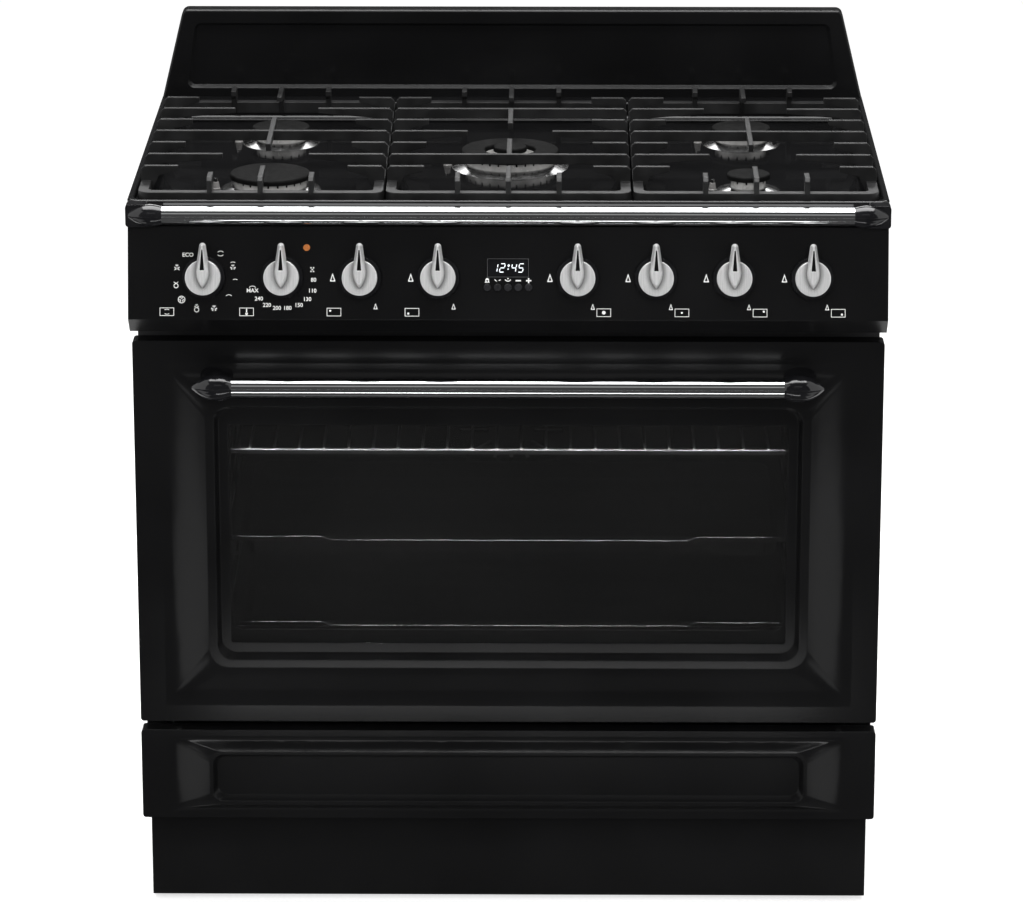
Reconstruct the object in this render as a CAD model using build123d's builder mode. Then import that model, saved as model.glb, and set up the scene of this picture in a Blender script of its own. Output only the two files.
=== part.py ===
from build123d import *
import os
from math import atan2, cos, pi, sin, tan

# Heights in millimetres, stacked from the floor up
plinth_height = 119.0
flap_clearance = 2.0
flap_height = 114.0
door_clearance = 11.5
door_height = 481.0
vent_gap = 17.5
lip_height = 20.0
fascia_height = 107.0
hob_edge_height = 28.0
splash_height = 113.0

# Overall width, and how far each piece stands in from it on either side
overall_width = 900.0
fascia_inset = 2.0
door_inset = 2.5
cabinet_inset = 5.5
plinth_inset = 10.0
storage_inset = 37.0
splash_top_inset = 28.5
cavity_inset = 82.5
window_inset = 27.0

# Depths, measured back from the front of the hob rail
body_depth = 602.0
handle_lead = 42.1
door_setback = 30.0
door_thickness = 44.0
front_skin_depth = 24.0
seal_height = 5.0
plinth_setback = 60.0
hob_setback = 27.0
fascia_top_setback = 15.0
fascia_crease_lead = 10.0
fascia_lip_setback = 10.0
splash_depth = 25.0
rear_recess = 30.0
storage_depth = 460.0

# Sheets, glass and clearances
sheet = 1.5
fold_radius = 1.35
pierce = 4.5
glass = 4.0
running = 0.05
touch_gap = 0.3

# Oven
cavity_height = 371.0
cavity_depth = 418.0
cavity_floor_rise = 56.5
cavity_corner = 14.0
cover_depth = 40.0
window_low = 103.5
window_high = 102.5

# Pressed front of the door: insets from its edges at the sides, below and above
door_rim = (31.5, 20.5, 27.5)
door_ridge = (86.5, 76.0, 66.0)
door_rise = 19.0
door_recess = 13.0
door_land = 10.0
door_ridge_corner = 24.0
# Pressed front of the storage flap
flap_rim = (31.5, 8.5, 8.0)
flap_ridge = (84.0, 24.0, 22.0)
flap_rise = 17.0
flap_recess = 10.0
flap_land = 4.0
flap_ridge_corner = 14.0
step_run = 5.0
# Soft profile of the pressed slopes: share of the way in, share of the rise
slope_profile = ((0.0, 0.0), (0.15, 0.03), (0.3, 0.12), (0.45, 0.29), (0.65, 0.57), (0.85, 0.84), (1.0, 1.0))
rim_corner = 3.0
front_corner = 4.0

# Hinges of the door and the flap
hinge_inset = 14.0
hinge_pin_radius = 4.0
hinge_eye_radius = 7.0
hinge_arm_thickness = 5.0
hinge_lug_thickness = 3.0
hinge_side_gap = 0.5
door_hinge_inset = 42.5
flap_hinge_inset = 52.5

# Door handle and hob rail
handle_radius = 11.5
handle_inset = 121.5
handle_cap_length = 47.0
handle_cap_radius = 15.5
handle_drop = 41.5
rail_radius = 11.0
rail_cap_length = 42.0
rail_cap_inset = 1.0
rail_cap_radius = 13.5
rail_drop = 14.0
tube_wall = 1.5
cap_tip_radius = 2.0
cap_bulge_place = 0.42
post_inset = 21.0

# Control fascia
knob_pitch = 92.0
knob_first_x = 82.0
knob_rise = 50.0
knob_radius = 20.75
knob_face = 27.0
knob_back = 16.5
knob_stem_radius = 17.0
lever_height = 10.0
lever_reach = 41.0
lever_tail = 13.0
lever_half_width = 8.3
bezel_radius = 26.0
bezel_height = 12.0
spindle_radius = 4.0
knob_push = 3.5
valve_width = 30.0
valve_height = 28.0
valve_length = 32.0
display_width = 47.0
display_height = 20.0
display_rise = 61.5
button_radius = 4.3
button_pitch = 12.2
button_rise = 38.5
button_proud = 3.0
button_travel = 1.0
lamp_radius = 4.0
lamp_offset = 29.0
lamp_rise = 85.0

# Hob and burners
hob_tray_drop = 20.0
hob_rim = 8.0
hob_corner = 14.0
burner_offset = 5.0
burner_row_spacing = 243.2
hob_centre_setback = 286.0
crown_height = 10.0
cap_height = 6.0
cup_height = 5.0

# Pan supports
support_edge = 10.5
support_gap = 3.0
support_depth = 488.0
support_top_rise = 24.0
support_bar = 12.0
support_bar_height = 14.0
support_foot = 12.0
finger_width = 6.0
finger_spacing = 60.8
finger_short = 44.0
finger_long = 93.0
finger_tip_height = 6.0

# Places worked out from the sizes above
half_overall = overall_width / 2
fascia_width = overall_width - 2 * fascia_inset
cabinet_width = overall_width - 2 * cabinet_inset
half_cabinet = cabinet_width / 2
half_door = half_overall - door_inset
plinth_width = overall_width - 2 * plinth_inset
storage_width = overall_width - 2 * storage_inset
splash_top_width = overall_width - 2 * splash_top_inset
cavity_width = cabinet_width - 2 * cavity_inset
window_half_width = cavity_width / 2 - window_inset
door_hinge_x = half_door - door_hinge_inset
flap_hinge_x = half_door - flap_hinge_inset
handle_half_length = half_door - handle_inset
rail_half_length = half_overall - rail_cap_inset - rail_cap_length
lamp_x = lamp_offset - knob_first_x - 2 * knob_pitch
support_pitch = (overall_width - 2 * support_edge) / 3
support_width = support_pitch - support_gap
burner_x = support_pitch - burner_offset
flap_z0 = plinth_height + flap_clearance
flap_z1 = flap_z0 + flap_height
door_z0 = flap_z1 + door_clearance
door_z1 = door_z0 + door_height
lip_z = door_z1 + vent_gap
crease_z = lip_z + lip_height
fascia_z1 = crease_z + fascia_height
hob_z = fascia_z1 + hob_edge_height
tray_z = hob_z - hob_tray_drop
rail_front_y = (handle_lead - body_depth) / 2
rear_y = rail_front_y + body_depth
door_y = rail_front_y + door_setback
carcass_y = door_y + door_thickness + seal_height
plinth_y = rail_front_y + plinth_setback
hob_front_y = rail_front_y + hob_setback
hob_centre_y = rail_front_y + hob_centre_setback
rear_panel_y = rear_y - rear_recess
hinge_y = door_y + hinge_inset
door_hinge_z = door_z0 + hinge_inset
flap_hinge_z = flap_z0 + hinge_inset
cavity_z0 = door_z0 + cavity_floor_rise
cavity_z1 = cavity_z0 + cavity_height
cavity_mid_z = (cavity_z0 + cavity_z1) / 2
cavity_rear_y = carcass_y + cavity_depth
handle_y = rail_front_y - handle_lead + handle_cap_radius
handle_z = door_z1 - handle_drop
rail_y = rail_front_y + rail_radius
rail_z = hob_z - rail_drop
fascia_run = fascia_top_setback + fascia_crease_lead
fascia_tilt = atan2(fascia_run, fascia_height)
crease_y = rail_front_y - fascia_crease_lead
fascia_back_y = carcass_y + sheet
fascia_normal = Axis((0, 0, 0), (0, -cos(fascia_tilt), sin(fascia_tilt)))

os.makedirs("parts", exist_ok=True)


def upright(y):
    """Plane facing the front at depth y, drawn in X and Z; extruding comes forwards."""
    return Plane(origin=(0, y, 0), x_dir=(1, 0, 0), z_dir=(0, -1, 0))


def sideways(x):
    """Plane facing right at x, drawn in Y and Z; extruding goes right."""
    return Plane(origin=(x, 0, 0), x_dir=(0, 1, 0), z_dir=(1, 0, 0))


def on_fascia(x, rise, out=0.0):
    """Plane on the sloping fascia, rise millimetres up from its crease, facing along its normal."""
    along = (sin(fascia_tilt), cos(fascia_tilt))
    normal = (0, -cos(fascia_tilt), sin(fascia_tilt))
    y = crease_y + rise * along[0] + out * normal[1]
    z = crease_z + rise * along[1] + out * normal[2]
    return Plane(origin=(x, y, z), x_dir=(1, 0, 0), z_dir=normal)


def panel_outline(y, half_width, low, high, corner):
    """Rounded rectangle facing the front at depth y, between the heights low and high."""
    with BuildSketch(upright(y)) as outline:
        with Locations((0, (low + high) / 2)):
            RectangleRounded(2 * half_width, high - low, corner)
    return outline.sketch


def pressed_form(z0, z1, rim, ridge, rise, recess, land, corner, inward=0.0):
    """Solid outer form of a pressed front: flat border, slopes up to a ridge, recessed field."""
    base_y = door_y + inward

    def level(inset, extra, y, radius):
        side, low, high = inset
        half = half_door - side - extra
        return panel_outline(y, half, z0 + low + extra, z1 - high - extra, radius)

    edge = (inward, inward, inward)
    with BuildPart() as form:
        extrude(level(edge, 0, door_y + front_skin_depth, front_corner), amount=front_skin_depth - inward)
        slopes = []
        for across, height in slope_profile:
            inset = [start + across * (end - start) for start, end in zip(rim, ridge)]
            radius = rim_corner + across * (corner - rim_corner)
            slopes.append(level(inset, inward, base_y - height * rise, radius))
        loft(slopes)
        mouth = level(ridge, land - inward, base_y - rise, corner - land / 2)
        field = level(ridge, land + step_run - inward, base_y - rise + recess, corner - land / 2)
        loft([mouth, field], ruled=True, mode=Mode.SUBTRACT)
    return form.part


def hinge_lugs(hinge_x, low_z, pivot_z):
    """Two cheeks and a pin for each hinge, standing on the front's lower edge."""
    cheek = hinge_arm_thickness / 2 + hinge_side_gap
    with BuildPart() as lugs:
        for side in (-1, 1):
            for face in (-1, 1):
                start = side * hinge_x + face * cheek
                with BuildSketch(sideways(start)):
                    with Locations((hinge_y, (low_z + pivot_z) / 2)):
                        Rectangle(2 * hinge_eye_radius, pivot_z - low_z)
                    with Locations((hinge_y, pivot_z)):
                        Circle(hinge_eye_radius)
                extrude(amount=face * hinge_lug_thickness)
            with BuildSketch(sideways(side * hinge_x - cheek)):
                with Locations((hinge_y, pivot_z)):
                    Circle(hinge_pin_radius)
            extrude(amount=2 * cheek)
    return lugs.part


def pressed_front(z0, z1, hinge_x, pivot_z, shape):
    """Sheet-steel front with the outer form given by shape, hollow behind, with its hinge lugs."""
    notch = hinge_arm_thickness + 2 * hinge_side_gap
    with BuildPart() as front:
        add(pressed_form(z0, z1, *shape))
        add(pressed_form(z0, z1, *shape, inward=sheet), mode=Mode.SUBTRACT)
        add(hinge_lugs(hinge_x, z0 + sheet / 2, pivot_z))
        with Locations(*[(side * hinge_x, door_y + sheet + front_skin_depth / 2, z0) for side in (-1, 1)]):
            Box(notch, front_skin_depth, 4 * sheet, mode=Mode.SUBTRACT)
    return front.part


def end_cap(x_end, length, tube_radius, bulge, y, z, side):
    """Almond-shaped end cap turned about the tube's own line, from the tube end to its tip."""
    with BuildPart() as cap:
        with BuildSketch(Plane(origin=(0, y, z), x_dir=(1, 0, 0), z_dir=(0, -1, 0))):
            with BuildLine():
                start = (side * x_end, tube_radius)
                tip = (side * (x_end + length), cap_tip_radius)
                ThreePointArc(start, (side * (x_end + cap_bulge_place * length), bulge), tip)
                Polyline(tip, (tip[0], 0), (start[0], 0), start)
            make_face()
        revolve(axis=Axis((0, y, z), (1, 0, 0)))
    return cap.part


# Base tray: floor plate with turned-down edges and the ears that carry the flap's hinge eyes
base_front_y = plinth_y + sheet
tray_edge = 16.0
with BuildPart() as base_tray:
    with BuildSketch(Plane.XY.offset(plinth_height - sheet)):
        with Locations((0, (base_front_y + rear_y) / 2)):
            Rectangle(cabinet_width, rear_y - base_front_y)
    extrude(amount=sheet)
    with BuildSketch(Plane.XY.offset(plinth_height - sheet)):
        with Locations((0, (carcass_y + rear_y) / 2)):
            with GridLocations(cabinet_width - sheet, 1, 2, 1):
                Rectangle(sheet, rear_y - carcass_y)
    extrude(amount=-tray_edge)
    for side in (-1, 1):
        with BuildSketch(sideways(side * flap_hinge_x - hinge_arm_thickness / 2)):
            with BuildLine():
                Polyline(
                    (hinge_y, flap_hinge_z + hinge_eye_radius),
                    (carcass_y, flap_hinge_z + hinge_eye_radius),
                    (carcass_y, plinth_height),
                    (base_front_y + 2 * sheet, plinth_height),
                    (base_front_y + 2 * sheet, flap_hinge_z - hinge_eye_radius),
                    (hinge_y, flap_hinge_z - hinge_eye_radius),
                    close=True,
                )
            make_face()
            with Locations((hinge_y, flap_hinge_z)):
                Circle(hinge_eye_radius)
                Circle(hinge_pin_radius + running, mode=Mode.SUBTRACT)
        extrude(amount=hinge_arm_thickness)
base_tray.part.label = "base_tray"
export_step(base_tray.part, "parts/base_tray.step")

# Levelling feet: pad, threaded stem and sleeve turned in one
foot_inset_x = 54.5
foot_x = half_cabinet - foot_inset_x
foot_front_setback = 120.0
foot_rear_setback = 540.0
foot_pad_radius = 24.0
foot_pad_height = 7.0
foot_stem_radius = 8.0
foot_stem_start = 12.0
foot_sleeve_radius = 17.0
foot_sleeve_start = 45.0
foot_top = plinth_height - sheet
foot_profile = [
    (0, 0),
    (foot_pad_radius, 0),
    (foot_pad_radius, foot_pad_height),
    (foot_stem_radius, foot_stem_start),
    (foot_stem_radius, foot_sleeve_start),
    (foot_sleeve_radius, foot_sleeve_start),
    (foot_sleeve_radius, foot_top),
    (0, foot_top),
]
with BuildPart() as levelling_feet:
    for x in (-foot_x, foot_x):
        for setback in (foot_front_setback, foot_rear_setback):
            foot_y = rail_front_y + setback
            with BuildSketch(Plane(origin=(x, foot_y, 0), x_dir=(1, 0, 0), z_dir=(0, -1, 0))):
                with BuildLine():
                    Polyline(*foot_profile, close=True)
                make_face()
            revolve(axis=Axis((x, foot_y, 0), (0, 0, 1)))
levelling_feet.part.label = "levelling_feet"
export_step(levelling_feet.part, "parts/levelling_feet.step")

# Plinth: folded sheet with returned ends
plinth_lift = 8.0
plinth_return = 45.0
with BuildPart() as plinth:
    with BuildSketch(Plane.XY.offset(plinth_lift)):
        with Locations((0, plinth_y + sheet / 2)):
            Rectangle(plinth_width, sheet)
        with Locations((0, plinth_y + plinth_return / 2)):
            with GridLocations(plinth_width - sheet, 1, 2, 1):
                Rectangle(sheet, plinth_return)
    extrude(amount=plinth_height - sheet - plinth_lift)
    fillet(plinth.edges().filter_by(Axis.Z).group_by(Axis.Y)[0], fold_radius)
plinth.part.label = "plinth"
export_step(plinth.part, "parts/plinth.step")

# Storage box: folded sheet compartment behind the flap, open at the front
storage_setback = 3.0
storage_drop = 6.0
storage_y = carcass_y + storage_setback
storage_top = flap_z1 - storage_drop
with BuildPart() as storage_box:
    with BuildSketch(upright(storage_y + storage_depth)):
        with Locations((0, (plinth_height + storage_top) / 2)):
            Rectangle(storage_width, storage_top - plinth_height)
    extrude(amount=storage_depth)
    with BuildSketch(upright(storage_y + storage_depth - sheet)):
        with Locations((0, (plinth_height + storage_top) / 2)):
            Rectangle(storage_width - 2 * sheet, storage_top - plinth_height - 2 * sheet)
    extrude(amount=storage_depth, mode=Mode.SUBTRACT)
storage_box.part.label = "storage_box"
export_step(storage_box.part, "parts/storage_box.step")

# Side panels: folded sheet with a flange turned in at the front and at the back
side_flange = 25.0
side_front_y = carcass_y + sheet
for side_name, side in (("side_panel_left", -1), ("side_panel_right", 1)):
    with BuildPart() as side_panel:
        with BuildSketch(Plane.XY.offset(plinth_height)):
            with Locations((side * (half_cabinet - side_flange / 2), (side_front_y + rear_y) / 2)):
                Rectangle(side_flange, rear_y - side_front_y)
            with Locations((side * (half_cabinet - side_flange / 2 - sheet), (side_front_y + rear_y) / 2)):
                Rectangle(side_flange, rear_y - side_front_y - 2 * sheet, mode=Mode.SUBTRACT)
        extrude(amount=fascia_z1 - plinth_height)
        fillet(side_panel.edges().filter_by(Axis.Z).sort_by(Axis.X, reverse=side > 0)[:2], fold_radius)
    side_panel.part.label = side_name
    export_step(side_panel.part, f"parts/{side_name}.step")

# Rear panel: recessed pan with louvre slots, a gas inlet hole and flanges against the side panels
rear_half = half_cabinet - sheet
inlet_inset = 44.5
inlet_x = half_cabinet - inlet_inset
inlet_radius = 10.48
inlet_clearance = 2.0
louvre_length = 70.0
louvre_height = 6.0
louvre_pitch = (100.0, 16.0)
louvre_columns = 5
upper_louvres = (120.0, 6)
lower_louvres = (90.0, 4)
rear_lap = 3.0
pipe_radius = 9.0
manifold = on_fascia(0, knob_rise, -sheet - valve_length - touch_gap - pipe_radius).origin
gland_inset = 114.5
gland_x = gland_inset - half_cabinet
gland_radius = 12.0
with BuildPart() as rear_panel:
    with BuildSketch(upright(rear_panel_y)):
        with Locations((0, (plinth_height + fascia_z1) / 2)):
            Rectangle(2 * rear_half, fascia_z1 - plinth_height)
        with Locations((0, fascia_z1 - upper_louvres[0])):
            with GridLocations(*louvre_pitch, louvre_columns, upper_louvres[1]):
                SlotOverall(louvre_length, louvre_height, mode=Mode.SUBTRACT)
        with Locations((0, plinth_height + lower_louvres[0])):
            with GridLocations(*louvre_pitch, louvre_columns, lower_louvres[1]):
                SlotOverall(louvre_length, louvre_height, mode=Mode.SUBTRACT)
        with Locations((inlet_x, manifold.Z)):
            Circle(inlet_radius + inlet_clearance, mode=Mode.SUBTRACT)
        with Locations((gland_x, manifold.Z)):
            Circle(gland_radius, mode=Mode.SUBTRACT)
    extrude(amount=sheet)
    with BuildSketch(Plane.XY.offset(plinth_height)):
        with Locations((0, (rear_panel_y + rear_y - rear_lap) / 2)):
            with GridLocations(2 * rear_half - sheet, 1, 2, 1):
                Rectangle(sheet, rear_y - rear_lap - rear_panel_y)
    extrude(amount=fascia_z1 - plinth_height)
rear_panel.part.label = "rear_panel"
export_step(rear_panel.part, "parts/rear_panel.step")

# Oven cavity: enamelled box with its face frame, hinge slots and the opening for the fan shaft
frame_z0 = flap_z1 - sheet
frame_z1 = lip_z - sheet
arm_slot = hinge_arm_thickness + 4 * hinge_side_gap
arm_slot_height = 21.0
shaft_radius = 4.0
shaft_hole = 7.0
with BuildPart() as oven_cavity:
    with BuildSketch(upright(carcass_y + sheet)):
        with Locations((0, (frame_z0 + frame_z1) / 2)):
            Rectangle(cabinet_width, frame_z1 - frame_z0)
        with Locations((0, door_hinge_z)):
            with GridLocations(2 * door_hinge_x, 1, 2, 1):
                Rectangle(arm_slot, arm_slot_height, mode=Mode.SUBTRACT)
    extrude(amount=sheet)
    with BuildSketch(upright(cavity_rear_y + sheet)):
        with Locations((0, cavity_mid_z)):
            RectangleRounded(cavity_width + 2 * sheet, cavity_height + 2 * sheet, cavity_corner + sheet)
    extrude(amount=cavity_depth + sheet)
    with BuildSketch(upright(cavity_rear_y)):
        with Locations((0, cavity_mid_z)):
            RectangleRounded(cavity_width, cavity_height, cavity_corner)
    extrude(amount=cavity_depth, mode=Mode.SUBTRACT)
    with BuildSketch(upright(cavity_rear_y + sheet)):
        with Locations((0, cavity_mid_z)):
            Circle(shaft_hole)
    extrude(amount=sheet, mode=Mode.SUBTRACT)
oven_cavity.part.label = "oven_cavity"
export_step(oven_cavity.part, "parts/oven_cavity.step")

# Door seal: soft ring round the oven's mouth
seal_width = 9.0
seal_round = 2.0
with BuildPart() as door_seal:
    with BuildSketch(upright(carcass_y)):
        with Locations((0, cavity_mid_z)):
            RectangleRounded(cavity_width + 4 * seal_width, cavity_height + 4 * seal_width, 2 * cavity_corner)
            RectangleRounded(cavity_width + 2 * seal_width, cavity_height + 2 * seal_width,
                             2 * cavity_corner - seal_width, mode=Mode.SUBTRACT)
    extrude(amount=seal_height - touch_gap)
    fillet(door_seal.faces().sort_by(Axis.Y)[0].edges(), seal_round)
door_seal.part.label = "door_seal"
export_step(door_seal.part, "parts/door_seal.step")

# Door hinge arms: fixed plates that reach through the face frame to the hinge pins
arm_tail = 36.0
arm_foot = (24.0, 36.0, 4.5)
arm_foot_corner = 3.0
with BuildPart() as door_hinge_arms:
    for side in (-1, 1):
        with BuildSketch(sideways(side * door_hinge_x - hinge_arm_thickness / 2)):
            with Locations(((hinge_y + carcass_y + arm_tail) / 2, door_hinge_z)):
                Rectangle(carcass_y + arm_tail - hinge_y, 2 * hinge_eye_radius)
            with Locations((hinge_y, door_hinge_z)):
                Circle(hinge_eye_radius)
                Circle(hinge_pin_radius + running, mode=Mode.SUBTRACT)
        extrude(amount=hinge_arm_thickness)
        with BuildSketch(upright(carcass_y + sheet + arm_foot[2])):
            with Locations((side * door_hinge_x, door_hinge_z)):
                RectangleRounded(arm_foot[0], arm_foot[1], arm_foot_corner)
        extrude(amount=arm_foot[2])
door_hinge_arms.part.label = "door_hinge_arms"
export_step(door_hinge_arms.part, "parts/door_hinge_arms.step")

# Oven door: pressed outer panel with the window cut through its recessed field
door_shape = (door_rim, door_ridge, door_rise, door_recess, door_land, door_ridge_corner)
window_z0 = door_z0 + window_low
window_z1 = door_z1 - window_high
with BuildPart() as door_panel:
    add(pressed_front(door_z0, door_z1, door_hinge_x, door_hinge_z, door_shape))
    extrude(panel_outline(door_y + front_skin_depth, window_half_width, window_z0, window_z1, rim_corner),
            amount=front_skin_depth + door_rise, mode=Mode.SUBTRACT)
door_panel.part.label = "door_panel"
export_step(door_panel.part, "parts/door_panel.step")

# Door glass: outer pane behind the pressed field, inner pane inside the liner
glass_lap = 8.0
outer_glass_y = door_y - door_rise + door_recess + sheet
with BuildPart() as door_outer_glass:
    extrude(panel_outline(outer_glass_y + glass, window_half_width + glass_lap, window_z0 - glass_lap,
                          window_z1 + glass_lap, rim_corner), amount=glass)
door_outer_glass.part.label = "door_outer_glass"
export_step(door_outer_glass.part, "parts/door_outer_glass.step")

# Door liner: flange across the back of the pressed panel, with a raised pan round the inner glass
liner_y = door_y + front_skin_depth
liner_back_y = door_y + door_thickness
liner_margin = 26.0
liner_corner = 12.0
liner_wall = 6.0
liner_round = 4.5
inner_glass_lap = 16.0
inner_glass_y = liner_back_y - sheet - glass
with BuildPart() as door_liner:
    extrude(panel_outline(liner_y + sheet, half_door - sheet, door_z0 + sheet, door_z1 - sheet, front_corner),
            amount=sheet)
    pan_half = half_door - liner_margin
    extrude(panel_outline(liner_back_y, pan_half, door_z0 + liner_margin, door_z1 - liner_margin, liner_corner),
            amount=liner_back_y - liner_y)
    fillet(door_liner.faces().sort_by(Axis.Y)[-1].edges(), liner_round)
    pan_inset = liner_margin + liner_wall
    extrude(panel_outline(liner_back_y - sheet, half_door - pan_inset, door_z0 + pan_inset, door_z1 - pan_inset,
                          liner_corner),
            amount=door_thickness, mode=Mode.SUBTRACT)
    extrude(panel_outline(liner_back_y, window_half_width, window_z0, window_z1, liner_corner),
            amount=door_thickness, mode=Mode.SUBTRACT)
    with Locations(*[(side * door_hinge_x, (liner_y + liner_back_y) / 2, door_z0) for side in (-1, 1)]):
        Box(arm_slot + 2 * hinge_lug_thickness, door_thickness, 2 * (hinge_inset + 2 * hinge_eye_radius),
            mode=Mode.SUBTRACT)
door_liner.part.label = "door_liner"
export_step(door_liner.part, "parts/door_liner.step")

with BuildPart() as door_inner_glass:
    inner_half = window_half_width + inner_glass_lap
    extrude(panel_outline(inner_glass_y + glass, inner_half, window_z0 - inner_glass_lap,
                          window_z1 + inner_glass_lap, rim_corner), amount=glass)
door_inner_glass.part.label = "door_inner_glass"
export_step(door_inner_glass.part, "parts/door_inner_glass.step")

# Door handle: chrome tube between two almond end caps on flared posts
with BuildPart() as door_handle:
    with BuildSketch(Plane(origin=(-handle_half_length, handle_y, handle_z), x_dir=(0, 1, 0), z_dir=(1, 0, 0))):
        Circle(handle_radius)
        Circle(handle_radius - tube_wall, mode=Mode.SUBTRACT)
    extrude(amount=2 * handle_half_length)
door_handle.part.label = "door_handle"
export_step(door_handle.part, "parts/door_handle.step")

post_x = handle_half_length + post_inset
post_tip = (13.0, 8.5)
post_foot = (20.0, 11.0)
with BuildPart() as handle_end_caps:
    for side in (-1, 1):
        add(end_cap(handle_half_length, handle_cap_length, handle_radius, handle_cap_radius, handle_y,
                    handle_z, side))
        with BuildSketch(upright(handle_y)) as tip_outline:
            with Locations((side * post_x, handle_z)):
                Ellipse(*post_tip)
        with BuildSketch(upright(door_y)) as foot_outline:
            with Locations((side * post_x, handle_z)):
                Ellipse(*post_foot)
        loft([tip_outline.sketch, foot_outline.sketch])
    add(pressed_form(door_z0, door_z1, *door_shape), mode=Mode.SUBTRACT)
handle_end_caps.part.label = "handle_end_caps"
export_step(handle_end_caps.part, "parts/handle_end_caps.step")

# Storage flap: closed pressed front, hinged at its lower edge
flap_shape = (flap_rim, flap_ridge, flap_rise, flap_recess, flap_land, flap_ridge_corner)
with BuildPart() as storage_flap:
    add(pressed_front(flap_z0, flap_z1, flap_hinge_x, flap_hinge_z, flap_shape))
storage_flap.part.label = "storage_flap"
export_step(storage_flap.part, "parts/storage_flap.step")

# Control fascia: folded box with a sloping face, open at the back, pierced for knobs, timer, buttons and lamp
knob_steps = (-3, -2, -1, 0, 0, 1, 2, 3)
knob_sides = (-1, -1, -1, -1, 1, 1, 1, 1)
knob_xs = [side * knob_first_x + step * knob_pitch for side, step in zip(knob_sides, knob_steps)]
button_xs = [(step - 2) * button_pitch for step in range(5)]
spindle_clearance = 2.0
spindle_hole = spindle_radius + spindle_clearance
button_clearance = 0.4
fascia_points = [
    (rail_front_y + fascia_top_setback, fascia_z1),
    (crease_y, crease_z),
    (rail_front_y + fascia_lip_setback, lip_z),
    (fascia_back_y, lip_z),
    (fascia_back_y, fascia_z1),
]
with BuildPart() as control_fascia:
    with BuildSketch(sideways(-fascia_width / 2)):
        with BuildLine():
            Polyline(*fascia_points, close=True)
        make_face()
    extrude(amount=fascia_width)
    with BuildSketch(sideways(sheet - fascia_width / 2)):
        with BuildLine():
            Polyline(*fascia_points, close=True)
        make_face()
        offset(amount=-sheet, kind=Kind.INTERSECTION)
    extrude(amount=fascia_width - 2 * sheet, mode=Mode.SUBTRACT)
    with BuildSketch(upright(fascia_back_y)):
        with Locations((0, (lip_z + fascia_z1) / 2)):
            Rectangle(fascia_width - 2 * side_flange, fascia_height + lip_height - 2 * sheet)
    extrude(amount=2 * sheet, mode=Mode.SUBTRACT)
    for x in knob_xs:
        with BuildSketch(on_fascia(x, knob_rise)):
            Circle(spindle_hole)
        extrude(amount=-pierce, mode=Mode.SUBTRACT)
    with BuildSketch(on_fascia(0, display_rise)):
        Rectangle(display_width, display_height)
    extrude(amount=-pierce, mode=Mode.SUBTRACT)
    for x in button_xs:
        with BuildSketch(on_fascia(x, button_rise)):
            Circle(button_radius + button_clearance)
        extrude(amount=-pierce, mode=Mode.SUBTRACT)
    with BuildSketch(on_fascia(lamp_x, lamp_rise)):
        Circle(lamp_radius)
    extrude(amount=-pierce, mode=Mode.SUBTRACT)
control_fascia.part.label = "control_fascia"
export_step(control_fascia.part, "parts/control_fascia.step")

# Knob bezels: tapered rings seated on the fascia
bezel_gap = 1.5
bezel_taper = 8
bezel_bore = knob_stem_radius + bezel_gap
with BuildPart() as knob_bezels:
    for x in knob_xs:
        with BuildSketch(on_fascia(x, knob_rise)):
            Circle(bezel_radius)
        extrude(amount=bezel_height, taper=bezel_taper)
        with BuildSketch(on_fascia(x, knob_rise)):
            Circle(bezel_bore)
        extrude(amount=bezel_height, mode=Mode.SUBTRACT)
knob_bezels.part.label = "knob_bezels"
export_step(knob_bezels.part, "parts/knob_bezels.step")

# Timer: module seated behind the fascia, its window filling the fascia's opening
timer_width = 78.0
timer_height = 56.0
timer_depth = 22.0
timer_corner = 3.0
button_flange = 1.0
button_flange_lap = 1.2
button_well_lap = 1.6
button_round = 1.0
button_room = button_flange + button_travel + touch_gap
timer_mid_rise = (display_rise + button_rise) / 2
with BuildPart() as timer_module:
    with BuildSketch(on_fascia(0, timer_mid_rise, -sheet)):
        RectangleRounded(timer_width, timer_height, timer_corner)
    extrude(amount=-timer_depth)
    with BuildSketch(on_fascia(0, display_rise, -sheet)):
        Rectangle(display_width - 2 * touch_gap, display_height - 2 * touch_gap)
    extrude(amount=sheet + touch_gap)
    for x in button_xs:
        with BuildSketch(on_fascia(x, button_rise, -sheet)):
            Circle(button_radius + button_well_lap)
        extrude(amount=-button_room, mode=Mode.SUBTRACT)
timer_module.part.label = "timer_module"
export_step(timer_module.part, "parts/timer_module.step")

# Timer buttons: domed caps with a retaining flange behind the fascia
button_names = ("button_bell", "button_duration", "button_end_time", "button_minus", "button_plus")
for button_name, x in zip(button_names, button_xs):
    with BuildPart() as button:
        with BuildSketch(on_fascia(x, button_rise, -sheet - button_flange)):
            Circle(button_radius + button_flange_lap)
        extrude(amount=button_flange)
        with BuildSketch(on_fascia(x, button_rise, -sheet)):
            Circle(button_radius)
        extrude(amount=sheet + button_proud)
        fillet(button.edges().sort_by(fascia_normal)[-1], button_round)
    button.part.label = button_name
    export_step(button.part, f"parts/{button_name}.step")

# Indicator lamp: domed lens pressed through the fascia
lamp_flange = (1.5, 3.0)
lamp_proud = 1.5
with BuildPart() as indicator_lamp:
    with BuildSketch(on_fascia(lamp_x, lamp_rise, -sheet - lamp_flange[1])):
        Circle(lamp_radius + lamp_flange[0])
    extrude(amount=lamp_flange[1])
    with BuildSketch(on_fascia(lamp_x, lamp_rise, -sheet)):
        Circle(lamp_radius)
    extrude(amount=sheet + lamp_proud)
indicator_lamp.part.label = "indicator_lamp"
export_step(indicator_lamp.part, "parts/indicator_lamp.step")

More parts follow.
